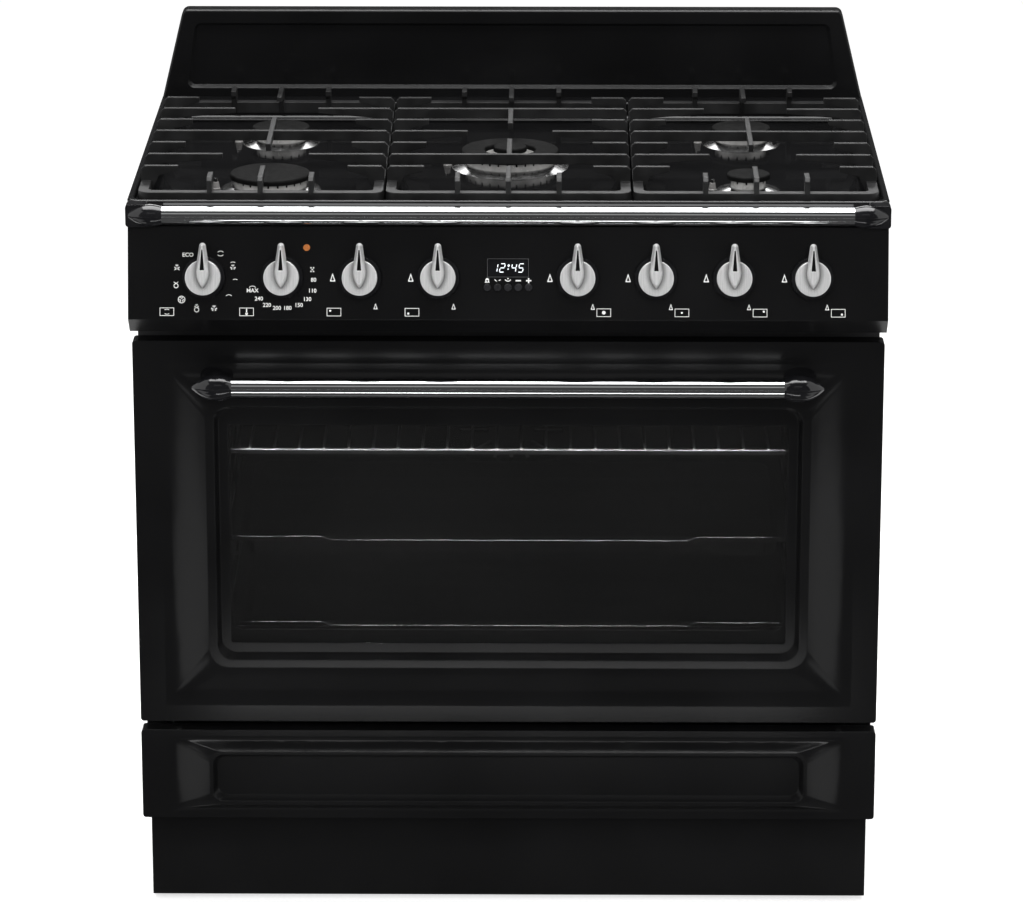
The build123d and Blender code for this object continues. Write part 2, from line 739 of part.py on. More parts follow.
# Gas taps and oven switches: bodies seated behind the fascia, bored for their spindles
knob_names = ("oven_selector", "oven_thermostat", "rear_left", "front_left", "centre_ring", "centre_core",
              "rear_right", "front_right")
spindle_reach = 24.0
selector_radius = 22.0
valve_corner = 4.0
with BuildPart() as taps_and_switches:
    for name, x in zip(knob_names, knob_xs):
        with BuildSketch(on_fascia(x, knob_rise, -sheet)):
            if name == "oven_selector":
                Circle(selector_radius)
            else:
                RectangleRounded(valve_width, valve_height, valve_corner)
        extrude(amount=-valve_length)
        with BuildSketch(on_fascia(x, knob_rise, -sheet)):
            Circle(spindle_radius + running)
        extrude(amount=-spindle_reach, mode=Mode.SUBTRACT)
taps_and_switches.part.label = "taps_and_switches"
export_step(taps_and_switches.part, "parts/taps_and_switches.step")

# Knobs: stem in the bezel, brushed disc, tapered lever with a wedge groove; gas knobs slide on their spindles
stem_gap = 1.0
stem_start = knob_push + stem_gap
knob_round = 1.2
lever_taper = 15
lever_side = (6.2, 4.0)
groove_half_width = 2.6
groove_tip = 0.7
groove_setback = 1.0
bore_gap = 0.5
lever_tip = 4.0
lever_shoulder = 8.0
groove_depth = 4.0
lever_sink = 1.2
spindle_end = knob_back - bore_gap
bore_end = spindle_end + knob_push + bore_gap
for name, x in zip(knob_names, knob_xs):
    gas = not name.startswith("oven")
    with BuildPart() as knob:
        with BuildSketch(on_fascia(x, knob_rise, stem_start)):
            Circle(knob_stem_radius)
        extrude(amount=knob_back - stem_start)
        with BuildSketch(on_fascia(x, knob_rise, knob_back)):
            Circle(knob_radius)
        extrude(amount=knob_face - knob_back)
        fillet(knob.faces().sort_by(fascia_normal)[-1].edges(), knob_round)
        with BuildSketch(on_fascia(x, knob_rise, knob_face - lever_sink)):
            with BuildLine():
                for side in (-1, 1):
                    Line((side * lever_tip, lever_reach - lever_tip), (side * lever_half_width, lever_shoulder))
                    ThreePointArc(
                        (side * lever_half_width, lever_shoulder),
                        (side * lever_side[0], -lever_side[1]),
                        (0, -lever_tail),
                    )
                ThreePointArc(
                    (lever_tip, lever_reach - lever_tip),
                    (0, lever_reach),
                    (-lever_tip, lever_reach - lever_tip),
                )
            make_face()
        extrude(amount=lever_height + lever_sink, taper=lever_taper)
        with BuildSketch(on_fascia(x, knob_rise, knob_face + lever_height)):
            with BuildLine():
                Polyline(
                    (-groove_tip, lever_reach - 2 * lever_tip),
                    (groove_tip, lever_reach - 2 * lever_tip),
                    (groove_half_width, lever_shoulder + groove_setback),
                    (-groove_half_width, lever_shoulder + groove_setback),
                    close=True,
                )
            make_face()
        extrude(amount=-groove_depth, mode=Mode.SUBTRACT)
        if gas:
            with BuildSketch(on_fascia(x, knob_rise, stem_start)):
                Circle(spindle_radius + running)
            extrude(amount=bore_end - stem_start, mode=Mode.SUBTRACT)
        else:
            with BuildSketch(on_fascia(x, knob_rise, touch_gap - sheet - spindle_reach)):
                Circle(spindle_radius)
            extrude(amount=sheet + spindle_reach + knob_back)
    knob.part.label = f"knob_{name}"
    export_step(knob.part, f"parts/knob_{name}.step")
    if gas:
        with BuildPart() as spindle:
            with BuildSketch(on_fascia(x, knob_rise, touch_gap - sheet - spindle_reach)):
                Circle(spindle_radius)
            extrude(amount=sheet + spindle_reach - touch_gap + spindle_end)
        spindle.part.label = f"spindle_{name}"
        export_step(spindle.part, f"parts/spindle_{name}.step")

# Hob top: pressed enamel sheet with a raised rim round a sunken tray
hob_mid_y = (hob_front_y + rear_y) / 2
tray_back_setback = 545.0
tray_front_y = hob_front_y + hob_rim
tray_back_y = rail_front_y + tray_back_setback
tray_fillet = 6.0
rim_fillet = 2.8
burner_front_y = hob_centre_y - burner_row_spacing / 2
burner_rear_y = hob_centre_y + burner_row_spacing / 2
# Each burner: place on the hob, cap radius and the radius of its mixing tube
burners = [
    (-burner_x, burner_rear_y, 36.0, 18.0),
    (-burner_x, burner_front_y, 48.5, 24.0),
    (burner_x, burner_rear_y, 37.0, 18.0),
    (burner_x, burner_front_y, 26.0, 14.0),
    (0.0, hob_centre_y, 60.0, 40.0),
]
tube_clearance = 0.5
with BuildPart() as hob_top:
    with BuildSketch(Plane.XY.offset(fascia_z1)):
        with Locations((0, hob_mid_y)):
            RectangleRounded(overall_width, rear_y - hob_front_y, hob_corner)
    extrude(amount=hob_edge_height)
    with BuildSketch(Plane.XY.offset(hob_z)):
        with Locations((0, (tray_front_y + tray_back_y) / 2)):
            RectangleRounded(overall_width - 2 * hob_rim, tray_back_y - tray_front_y, hob_corner)
    extrude(amount=-hob_tray_drop, mode=Mode.SUBTRACT)
    fillet(hob_top.faces().filter_by(Axis.Z).sort_by(Axis.Z)[-2].edges(), tray_fillet)
    fillet(hob_top.faces().sort_by(Axis.Z)[-1].edges(), rim_fillet)
    with BuildSketch(Plane.XY.offset(fascia_z1)):
        with Locations((0, hob_mid_y)):
            RectangleRounded(overall_width - 2 * sheet, rear_y - hob_front_y - 2 * sheet, hob_corner - sheet)
    extrude(amount=tray_z - sheet - fascia_z1, mode=Mode.SUBTRACT)
    for x, y, cap_radius, tube_radius in burners:
        with BuildSketch(Plane.XY.offset(tray_z)):
            with Locations((x, y)):
                Circle(tube_radius + tube_clearance)
        extrude(amount=-pierce, mode=Mode.SUBTRACT)
hob_top.part.label = "hob_top"
export_step(hob_top.part, "parts/hob_top.step")

# Backsplash: pressed upstand that narrows upwards, with a recessed panel, hollow behind
splash_z1 = hob_z + splash_height
splash_side_gap = 1.0
splash_foot_width = overall_width - 2 * splash_side_gap
splash_round = 3.0
splash_wall = 4.5
recess_taper = 38
splash_corner = 9.0
splash_recess = 5.0
recess_low = 11.0
recess_high = 17.0
recess_foot_inset = 31.0
recess_top_inset = 15.5
recess_foot_width = splash_foot_width - 2 * recess_foot_inset
recess_top_width = splash_top_width - 2 * recess_top_inset
with BuildPart() as backsplash:
    with BuildSketch(upright(rear_y)) as splash_outline:
        with BuildLine():
            Polyline(
                (-splash_foot_width / 2, hob_z),
                (splash_foot_width / 2, hob_z),
                (splash_top_width / 2, splash_z1),
                (-splash_top_width / 2, splash_z1),
                close=True,
            )
        make_face()
        fillet(splash_outline.vertices().group_by(Axis.Y)[-1], splash_corner)
    extrude(amount=splash_depth)
    front_edges = backsplash.faces().sort_by(Axis.Y)[0].edges()
    fillet(front_edges.sort_by(Axis.Z)[1:], splash_round)
    with BuildSketch(upright(rear_y - splash_depth)) as recess_outline:
        with BuildLine():
            Polyline(
                (-recess_foot_width / 2, hob_z + recess_low),
                (recess_foot_width / 2, hob_z + recess_low),
                (recess_top_width / 2, splash_z1 - recess_high),
                (-recess_top_width / 2, splash_z1 - recess_high),
                close=True,
            )
        make_face()
        fillet(recess_outline.vertices(), splash_corner)
    extrude(amount=-splash_recess, taper=recess_taper, mode=Mode.SUBTRACT)
    with BuildSketch(upright(rear_y)) as hollow_outline:
        with BuildLine():
            Polyline(
                (-splash_foot_width / 2, hob_z),
                (splash_foot_width / 2, hob_z),
                (splash_top_width / 2, splash_z1),
                (-splash_top_width / 2, splash_z1),
                close=True,
            )
        make_face()
        offset(amount=-splash_wall, kind=Kind.INTERSECTION)
    extrude(amount=splash_depth - splash_recess - splash_wall, mode=Mode.SUBTRACT)
backsplash.part.label = "backsplash"
export_step(backsplash.part, "parts/backsplash.step")

# Hob rail: chrome tube between two almond end caps on corner blocks
with BuildPart() as front_rail:
    with BuildSketch(Plane(origin=(-rail_half_length, rail_y, rail_z), x_dir=(0, 1, 0), z_dir=(1, 0, 0))):
        Circle(rail_radius)
        Circle(rail_radius - tube_wall, mode=Mode.SUBTRACT)
    extrude(amount=2 * rail_half_length)
front_rail.part.label = "front_rail"
export_step(front_rail.part, "parts/front_rail.step")

block_width = 26.0
block_height = 27.0
block_edge = 4.0
with BuildPart() as rail_end_caps:
    for side in (-1, 1):
        with BuildSketch(upright(hob_front_y)):
            with Locations((side * (overall_width - block_width) / 2, rail_z)):
                RectangleRounded(block_width, block_height, block_edge)
        extrude(amount=hob_front_y - rail_y + block_edge)
        add(end_cap(rail_half_length, rail_cap_length, rail_radius, rail_cap_radius, rail_y, rail_z, side))
rail_end_caps.part.label = "rail_end_caps"
export_step(rail_end_caps.part, "parts/rail_end_caps.step")

# Burner cups: conical skirts on the tray with mixing tubes below and an ignition electrode beside each
cup_skirt = 12.0
cup_drop = 14.0
electrode_radius = 2.5
electrode_height = 13.0
cup_lip = 2.0
upward = (Align.CENTER, Align.CENTER, Align.MIN)
downward = (Align.CENTER, Align.CENTER, Align.MAX)
cup_z = tray_z + cup_height
core_radius = 16.0
with BuildPart() as burner_cups:
    for x, y, cap_radius, tube_radius in burners:
        with Locations((x, y, tray_z)):
            Cone(cap_radius + cup_skirt, cap_radius - cup_lip, cup_height, align=upward)
            Cylinder(tube_radius, cup_drop, align=downward)
        with Locations((x - cap_radius - cup_skirt - 2 * electrode_radius, y, tray_z)):
            Cylinder(electrode_radius, electrode_height, align=upward)
burner_cups.part.label = "burner_cups"
export_step(burner_cups.part, "parts/burner_cups.step")

# Burner crowns: flame spreaders with radial ports cut in their upper edge
port_pitch = 11.0
port_width = 2.2
port_depth = 4.0
crown_inset = 5.0
ring_hole = 31.0
core_rise = 4.0
with BuildPart() as burner_crowns:
    for x, y, cap_radius, tube_radius in burners:
        crown_radius = cap_radius - crown_inset
        centre_burner = x == 0.0
        with BuildSketch(Plane.XY.offset(cup_z)):
            with Locations((x, y)):
                Circle(crown_radius)
                Circle(ring_hole if centre_burner else crown_radius / 2, mode=Mode.SUBTRACT)
        extrude(amount=crown_height)
        with BuildSketch(Plane.XY.offset(cup_z + crown_height)):
            with Locations((x, y)):
                with PolarLocations(crown_radius, int(2 * pi * crown_radius / port_pitch)):
                    Rectangle(2 * crown_inset, port_width)
        extrude(amount=-port_depth, mode=Mode.SUBTRACT)
        if centre_burner:
            with Locations((x, y, cup_z)):
                Cylinder(core_radius, crown_height + core_rise, align=upward)
burner_crowns.part.label = "burner_crowns"
export_step(burner_crowns.part, "parts/burner_crowns.step")

# Burner caps: lids with a rolled edge; the centre burner has a ring and a small core cap
cap_z = cup_z + crown_height
core_cap_radius = 20.5
cap_edge = 2.2
with BuildPart() as burner_caps:
    for x, y, cap_radius, tube_radius in burners:
        with BuildSketch(Plane.XY.offset(cap_z)):
            with Locations((x, y)):
                Circle(cap_radius)
                if x == 0.0:
                    Circle(ring_hole, mode=Mode.SUBTRACT)
        extrude(amount=cap_height)
    with BuildSketch(Plane.XY.offset(cap_z + core_rise)):
        with Locations((0, hob_centre_y)):
            Circle(core_cap_radius)
    extrude(amount=cap_height)
    upper_faces = burner_caps.faces().filter_by(Axis.Z).filter_by(lambda f: f.normal_at().Z > 0)
    fillet(upper_faces.edges(), cap_edge)
burner_caps.part.label = "burner_caps"
export_step(burner_caps.part, "parts/burner_caps.step")

# Pan supports: cast frame on feet with fingers rising over it from all four sides
support_z1 = hob_z + support_top_rise
support_bar_z0 = tray_z + support_foot
support_bar_z1 = support_bar_z0 + support_bar_height
support_corner = 14.0
finger_bevel = 4.0
finger_root = 9.0
front_finger_offset = 60.0
front_finger_long = 62.0
front_finger_short = 30.0
cross_half = 72.0
cross_height = 9.0
stub_reach = 80.0
foot_radius = 5.4
foot_inset = 24.0


def finger(length):
    """Side view of one finger: leg on the frame, flat top, underside rising to the tip."""
    return [
        (0, support_bar_z0),
        (0, support_z1 - finger_bevel),
        (finger_bevel, support_z1),
        (length, support_z1),
        (length, support_z1 - finger_tip_height),
        (support_bar + finger_root, support_z1 - 2 * finger_tip_height),
        (support_bar, support_bar_z0),
    ]


def bridge(length):
    """Side view of a bar that crosses the whole frame."""
    left = [point for point in finger(length / 2) if point[0] < length / 2]
    return left[:3] + [(length - x, z) for x, z in reversed(left[:3])] + \
        [(length - x, z) for x, z in reversed(left[3:])] + left[3:]


side_rows = ("short", "long", "short", "bridge", "short", "long", "short")
centre_rows = ("short", "bridge", "short", "long", "short", "bridge", "short")
supports = (("pan_support_left", -1, side_rows), ("pan_support_centre", 0, centre_rows),
            ("pan_support_right", 1, side_rows))
for support_name, place, rows in supports:
    middle_x = place * support_pitch
    left_x = middle_x - support_width / 2
    with BuildPart() as pan_support:
        with BuildSketch(Plane.XY.offset(support_bar_z0)):
            with Locations((middle_x, hob_centre_y)):
                RectangleRounded(support_width, support_depth, support_corner)
                RectangleRounded(support_width - 2 * support_bar, support_depth - 2 * support_bar,
                                 support_corner / 2, mode=Mode.SUBTRACT)
        extrude(amount=support_bar_height)
        with BuildSketch(Plane.XY.offset(tray_z)):
            with Locations((middle_x, hob_centre_y)):
                with GridLocations(support_width - 2 * foot_inset, support_depth - support_bar, 2, 2):
                    Circle(foot_radius)
        extrude(amount=support_foot)
        for index, kind in enumerate(rows):
            row_y = hob_centre_y + (index - 3) * finger_spacing
            if kind == "bridge":
                outlines = [[(left_x + x, z) for x, z in bridge(support_width)]]
            else:
                points = finger(finger_long if kind == "long" else finger_short)
                outlines = [[(left_x + x, z) for x, z in points],
                            [(left_x + support_width - x, z) for x, z in points]]
            for outline in outlines:
                with BuildSketch(upright(row_y + finger_width / 2)):
                    with BuildLine():
                        Polyline(*outline, close=True)
                    make_face()
                extrude(amount=finger_width)
        for offset_x in (-front_finger_offset, 0, front_finger_offset):
            points = finger(front_finger_short if offset_x else front_finger_long)
            for end in (-1, 1):
                with BuildSketch(sideways(middle_x + offset_x - finger_width / 2)):
                    with BuildLine():
                        end_y = hob_centre_y + end * support_depth / 2
                        Polyline(*[(end_y - end * y, z) for y, z in points], close=True)
                    make_face()
                extrude(amount=finger_width)
        if place:
            cross_spans = [(-cross_half, cross_half)]
        else:
            bar = 2 * finger_spacing
            cross_spans = [(-bar, stub_reach - bar), (bar - stub_reach, bar)]
        for start, end in cross_spans:
            with BuildSketch(sideways(middle_x - finger_width / 2)):
                with Locations((hob_centre_y + (start + end) / 2, support_z1 - cross_height / 2)):
                    Rectangle(end - start, cross_height)
            extrude(amount=finger_width)
    pan_support.part.label = support_name
    export_step(pan_support.part, f"parts/{support_name}.step")

# Gas pipework: manifold behind the taps with its inlet stub, and a feed to each burner
feed_radius = 4.0
bend_radius = 9.0
inlet_bend = 30.0
inlet_length = 24.0
manifold_overrun = 16.0
inlet_overlap = 15.0
feed_start_back = 20.0
feed_levels = (-40.0, -27.0)
cup_bottom_z = tray_z - cup_drop
core_feed_x = 22.0
# Each feed: which knob, the burner it serves, a sideways step at the burner and its level
feeds = (("rear_left", 0, 0, 0), ("front_left", 1, 0, 1), ("centre_ring", 4, -core_feed_x, 0),
         ("centre_core", 4, core_feed_x, 0), ("rear_right", 2, 0, 0), ("front_right", 3, 0, 0))
with BuildPart() as gas_pipework:
    start_x = knob_xs[2] - manifold_overrun
    with BuildLine() as manifold_path:
        FilletPolyline(
            (start_x, manifold.Y, manifold.Z),
            (inlet_x, manifold.Y, manifold.Z),
            (inlet_x, rear_panel_y, manifold.Z),
            radius=inlet_bend,
        )
    with BuildSketch(Plane(origin=(start_x, manifold.Y, manifold.Z), z_dir=(1, 0, 0))):
        Circle(pipe_radius)
    sweep(path=manifold_path.line)
    with BuildSketch(upright(rear_panel_y + inlet_length)):
        with Locations((inlet_x, manifold.Z)):
            Circle(inlet_radius)
    extrude(amount=inlet_length + inlet_overlap)
    for knob_name, burner_index, step_x, level in feeds:
        knob_x = knob_xs[knob_names.index(knob_name)]
        top = on_fascia(knob_x, knob_rise + valve_height / 2, -sheet - feed_start_back).origin
        start_z = top.Z + feed_radius * tan(fascia_tilt) + touch_gap
        feed_z = tray_z + feed_levels[level]
        x, y = burners[burner_index][0] + step_x, burners[burner_index][1]
        with BuildLine() as feed_path:
            FilletPolyline(
                (knob_x, top.Y, start_z),
                (knob_x, top.Y, feed_z),
                (x, y, feed_z),
                (x, y, cup_bottom_z),
                radius=bend_radius,
            )
        with BuildSketch(Plane(origin=(knob_x, top.Y, start_z), z_dir=(0, 0, 1))):
            Circle(feed_radius)
        sweep(path=feed_path.line)
gas_pipework.part.label = "gas_pipework"
export_step(gas_pipework.part, "parts/gas_pipework.step")

# Side racks: wire ladders pegged to the oven's side walls
wire_radius = 2.5
wire_sides = 8
rack_inset = 12.0
rack_levels = (36.0, 91.0, 146.0, 201.0, 257.0)
rack_front = 50.0
rack_length = 330.0
post_inset_y = 20.0
post_overrun = 20.0
peg_overrun = 12.0
runner_overlap = 4.0
rack_x = cavity_width / 2 - rack_inset
runner_x = rack_x - runner_overlap
with BuildPart() as side_racks:
    for side in (-1, 1):
        rack_y = carcass_y + rack_front
        for post_y in (rack_y + post_inset_y, rack_y + rack_length - post_inset_y):
            with BuildSketch(Plane.XY.offset(cavity_z0 + rack_levels[0] - post_overrun)):
                with Locations((side * rack_x, post_y)):
                    RegularPolygon(wire_radius, wire_sides)
            extrude(amount=rack_levels[-1] - rack_levels[0] + 2 * post_overrun)
            for peg_z in (cavity_z0 + rack_levels[0] - peg_overrun, cavity_z0 + rack_levels[-1] + peg_overrun):
                with BuildSketch(sideways(side * cavity_width / 2)):
                    with Locations((post_y, peg_z)):
                        RegularPolygon(wire_radius, wire_sides)
                extrude(amount=-side * rack_inset)
        for level in rack_levels:
            with BuildSketch(upright(rack_y + rack_length)):
                with Locations((side * runner_x, cavity_z0 + level)):
                    RegularPolygon(wire_radius, wire_sides)
            extrude(amount=rack_length)
side_racks.part.label = "side_racks"
export_step(side_racks.part, "parts/side_racks.step")

# Wire shelf: frame with front-to-back rods, resting on the top runners
shelf_half = runner_x - touch_gap
shelf_frame = 3.0
rod_radius = 1.8
rod_pitch = 30.0
shelf_corner = 12.0
shelf_inner_corner = 6.0
shelf_setback = 30.0
shelf_back_gap = 4.0
shelf_front_y = carcass_y + shelf_setback
shelf_depth = cavity_depth - cover_depth - shelf_setback - shelf_back_gap
shelf_z = cavity_z0 + rack_levels[-1] + wire_radius + touch_gap + shelf_frame
with BuildPart() as wire_shelf:
    with BuildSketch(Plane.XY.offset(shelf_z - shelf_frame)):
        with Locations((0, shelf_front_y + shelf_depth / 2)):
            RectangleRounded(2 * shelf_half, shelf_depth, shelf_corner)
            RectangleRounded(2 * (shelf_half - 2 * shelf_frame), shelf_depth - 4 * shelf_frame,
                             shelf_inner_corner, mode=Mode.SUBTRACT)
    extrude(amount=2 * shelf_frame)
    with BuildSketch(upright(shelf_front_y + shelf_depth - shelf_frame)):
        with Locations((0, shelf_z + shelf_frame)):
            with GridLocations(rod_pitch, 1, int(2 * shelf_half / rod_pitch) - 1, 1):
                RegularPolygon(rod_radius, wire_sides)
    extrude(amount=shelf_depth - 2 * shelf_frame)
wire_shelf.part.label = "wire_shelf"
export_step(wire_shelf.part, "parts/wire_shelf.step")

# Baking trays: drawn pans with a flange on the runners and raised ends to the front lip
tray_levels = (rack_levels[2], rack_levels[0])
pan_depths = (22.0, 30.0)
pan_lip = 16.0
lip_dip_half = 215.0
lip_raise = 6.0
lip_slope = 14.0
lip_end_inset = 14.0
pan_corner = 20.0
pan_taper = 8
with BuildPart() as baking_trays:
    for level, pan_depth in zip(tray_levels, pan_depths):
        flange_z = cavity_z0 + level + wire_radius + touch_gap
        with BuildSketch(Plane.XY.offset(flange_z)):
            with Locations((0, shelf_front_y + shelf_depth / 2)):
                RectangleRounded(2 * shelf_half, shelf_depth, shelf_corner)
        extrude(amount=sheet)
        with BuildSketch(Plane.XY.offset(flange_z)):
            with Locations((0, shelf_front_y + shelf_depth / 2)):
                RectangleRounded(2 * (shelf_half - pan_lip), shelf_depth - 2 * pan_lip, pan_corner)
        extrude(amount=-pan_depth, taper=pan_taper)
        with BuildSketch(Plane.XY.offset(flange_z + sheet)):
            with Locations((0, shelf_front_y + shelf_depth / 2)):
                inner_lip = pan_lip + sheet
                RectangleRounded(2 * (shelf_half - inner_lip), shelf_depth - 2 * inner_lip, pan_corner)
        extrude(amount=-pan_depth, taper=pan_taper, mode=Mode.SUBTRACT)
        lip_end = shelf_half - lip_end_inset
        with BuildSketch(upright(shelf_front_y + sheet)):
            with BuildLine():
                Polyline((lip_dip_half, flange_z), (lip_end, flange_z), (lip_end, flange_z + lip_raise),
                         (lip_dip_half + lip_slope, flange_z + lip_raise), close=True)
            make_face()
            mirror(about=Plane.YZ)
        extrude(amount=sheet)
baking_trays.part.label = "baking_trays"
export_step(baking_trays.part, "parts/baking_trays.step")

# Grill element: looped heating rod under the oven's roof, its ends through the back wall
rod_size = 3.2
element_drop = 26.0
element_inset = 102.0
element_half = cavity_width / 2 - element_inset
element_runs = 8
element_front = 70.0
element_rear = 330.0
element_z = cavity_z1 - element_drop
element_step = 2 * element_half / element_runs
element_bend = 26.0
with BuildPart() as grill_element:
    rear_end = (-element_half, cavity_rear_y, element_z)
    turns = [rear_end]
    for count in range(element_runs):
        turn_y = carcass_y + (element_front if count % 2 == 0 else element_rear)
        x = -element_half + count * element_step
        turns += [(x, turn_y, element_z), (x + element_step, turn_y, element_z)]
    turns.append((element_half, cavity_rear_y, element_z))
    with BuildLine() as element_path:
        FilletPolyline(*turns, radius=element_bend)
    with BuildSketch(Plane(origin=rear_end, z_dir=(0, -1, 0))):
        Circle(rod_size)
    sweep(path=element_path.line)
grill_element.part.label = "grill_element"
export_step(grill_element.part, "parts/grill_element.step")

# Oven fan, its cover and its motor behind the back wall
cover_width = 420.0
cover_height = 300.0
cover_slot = (38.0, 5.0)
cover_corner = 20.0
cover_round = 8.0
cover_face = 9.0
slot_row_offset = 120.0
slot_pitch = (52.0, 14.0)
slot_columns = 7
slot_circle = 48.0
slot_count = 12
fan_radius = 75.0
fan_hub = 12.0
fan_depth = 22.0
fan_gap = 6.0
fan_blades = 12
blade_circle = 46.5
blade_length = 49.5
motor_plate = 88.4
motor_corner = 6.0
motor_radius = 34.0
motor_length = 42.0
motor_flange = 3.0
with BuildPart() as fan_cover:
    with BuildSketch(upright(cavity_rear_y)):
        with Locations((0, cavity_mid_z)):
            RectangleRounded(cover_width, cover_height, cover_corner)
    extrude(amount=cover_depth)
    fillet(fan_cover.faces().sort_by(Axis.Y)[0].edges(), cover_round)
    with BuildSketch(upright(cavity_rear_y)):
        with Locations((0, cavity_mid_z)):
            RectangleRounded(cover_width - 2 * sheet, cover_height - 2 * sheet, cover_corner - sheet)
    extrude(amount=cover_depth - cover_face, mode=Mode.SUBTRACT)
    with BuildSketch(upright(cavity_rear_y - cover_depth + 2 * cover_face)):
        for row_z in (cavity_mid_z - slot_row_offset, cavity_mid_z + slot_row_offset):
            with Locations((0, row_z)):
                with GridLocations(*slot_pitch, slot_columns, 2):
                    SlotOverall(*cover_slot)
        with Locations((0, cavity_mid_z)):
            with PolarLocations(slot_circle, slot_count):
                SlotOverall(*cover_slot)
    extrude(amount=2 * cover_face, mode=Mode.SUBTRACT)
fan_cover.part.label = "fan_cover"
export_step(fan_cover.part, "parts/fan_cover.step")

with BuildPart() as oven_fan:
    with BuildSketch(upright(cavity_rear_y - fan_gap)):
        with Locations((0, cavity_mid_z)):
            Circle(fan_radius)
    extrude(amount=sheet)
    with BuildSketch(upright(cavity_rear_y - fan_gap)):
        with Locations((0, cavity_mid_z)):
            Circle(fan_hub)
            with PolarLocations(blade_circle, fan_blades):
                Rectangle(blade_length, sheet)
    extrude(amount=fan_depth)
    with BuildSketch(upright(cavity_rear_y - fan_gap)):
        with Locations((0, cavity_mid_z)):
            Circle(shaft_radius + running)
    extrude(amount=fan_depth - fan_gap, mode=Mode.SUBTRACT)
oven_fan.part.label = "oven_fan"
export_step(oven_fan.part, "parts/oven_fan.step")

with BuildPart() as fan_motor:
    with BuildSketch(upright(cavity_rear_y + sheet + motor_flange)):
        with Locations((0, cavity_mid_z)):
            RectangleRounded(motor_plate, motor_plate, motor_corner)
    extrude(amount=motor_flange)
    with BuildSketch(upright(cavity_rear_y + sheet + motor_flange + motor_length)):
        with Locations((0, cavity_mid_z)):
            Circle(motor_radius)
    extrude(amount=motor_length)
    with BuildSketch(upright(cavity_rear_y + sheet)):
        with Locations((0, cavity_mid_z)):
            Circle(shaft_radius)
    extrude(amount=sheet + fan_depth - fan_gap)
fan_motor.part.label = "fan_motor"
export_step(fan_motor.part, "parts/fan_motor.step")
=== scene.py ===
import math
import bpy
from mathutils import Matrix, Vector


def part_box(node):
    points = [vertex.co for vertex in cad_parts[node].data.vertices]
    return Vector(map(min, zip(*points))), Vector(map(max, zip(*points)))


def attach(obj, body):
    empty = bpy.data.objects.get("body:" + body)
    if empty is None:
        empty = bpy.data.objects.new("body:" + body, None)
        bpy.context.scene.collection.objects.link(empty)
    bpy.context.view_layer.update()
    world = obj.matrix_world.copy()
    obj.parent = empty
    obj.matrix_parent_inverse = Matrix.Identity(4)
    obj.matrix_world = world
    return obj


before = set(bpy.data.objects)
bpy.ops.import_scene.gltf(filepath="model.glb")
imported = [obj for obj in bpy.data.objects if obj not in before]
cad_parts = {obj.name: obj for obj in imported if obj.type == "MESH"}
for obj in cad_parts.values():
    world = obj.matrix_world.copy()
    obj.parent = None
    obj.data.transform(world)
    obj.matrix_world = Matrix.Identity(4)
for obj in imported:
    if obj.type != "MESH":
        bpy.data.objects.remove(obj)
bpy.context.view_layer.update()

bl_info = {
    "name": "Gas cooker",
    "version": (1, 0, 0),
    "blender": (4, 5, 0),
    "location": "View3D > Sidebar > Cooker",
    "description": "Dresses the packed cooker: finishes, printed signs, small fittings and a studio",
    "category": "Object",
}

# The sloping fascia: where its crease runs and which way its face looks
CREASE_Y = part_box("control_fascia")[0].y
CREASE_Z = 0.765
FASCIA_RUN = 0.025
FASCIA_RISE = 0.107
SLOPE = math.hypot(FASCIA_RUN, FASCIA_RISE)
UP_SLOPE = Vector((0, FASCIA_RUN / SLOPE, FASCIA_RISE / SLOPE))
OUT_OF_SLOPE = Vector((0, -FASCIA_RISE / SLOPE, FASCIA_RUN / SLOPE))
KNOB_RISE = 0.050
GAS_KNOBS = (-0.174, -0.082, 0.082, 0.174, 0.266, 0.358)
SELECTOR_X = -0.358
THERMOSTAT_X = -0.266
DISPLAY_RISE = 0.0615
BUTTON_RISE = 0.0385
BUTTON_PITCH = 0.0122
LENS_PROUD = 0.0003
MM = 0.001

# The lever's groove: how far out its floor lies, its depth, and its outline as up and half width
GROOVE_FLOOR = 0.033
GROOVE_DEPTH = 0.004
GROOVE_OUTLINE = ((33.0, 0.7), (9.0, 2.6))
KNOBS = {
    "oven_selector": SELECTOR_X, "oven_thermostat": THERMOSTAT_X, "rear_left": GAS_KNOBS[0],
    "front_left": GAS_KNOBS[1], "centre_ring": GAS_KNOBS[2], "centre_core": GAS_KNOBS[3],
    "rear_right": GAS_KNOBS[4], "front_right": GAS_KNOBS[5],
}
# Spark pins beside the burners, and the hob tray that they come up through
SPARK_PINS = ((-0.341, 0.12765), (-0.3535, -0.11555), (0.234, 0.12765), (0.245, -0.11555),
              (-0.077, 0.00605))
TRAY_Z = 0.880
PIN_RADIUS = 0.0025
# Back of the cooker: its panel, the gas inlet and the cable hole
REAR_RIM = 0.027
REAR_FACE_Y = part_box("rear_panel")[1].y - REAR_RIM
SERVICE_Z = 0.80395
INLET_X = 0.400
INLET_RADIUS = 0.01048
CABLE_X = -0.330
LINER_FACE_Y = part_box("door_liner")[1].y
# Screws: sideways and upward places on the back panel, and on the door's inner face
BACK_SIDE_X = 0.425
BACK_SIDE_Z = (0.150, 0.330, 0.510, 0.690, 0.845)
BACK_ROW_X = (-0.25, 0.0, 0.25)
BACK_ROW_Z = (0.140, 0.855)
LINER_SIDE_X = 0.385
LINER_SIDE_Z = (0.330, 0.490, 0.650)


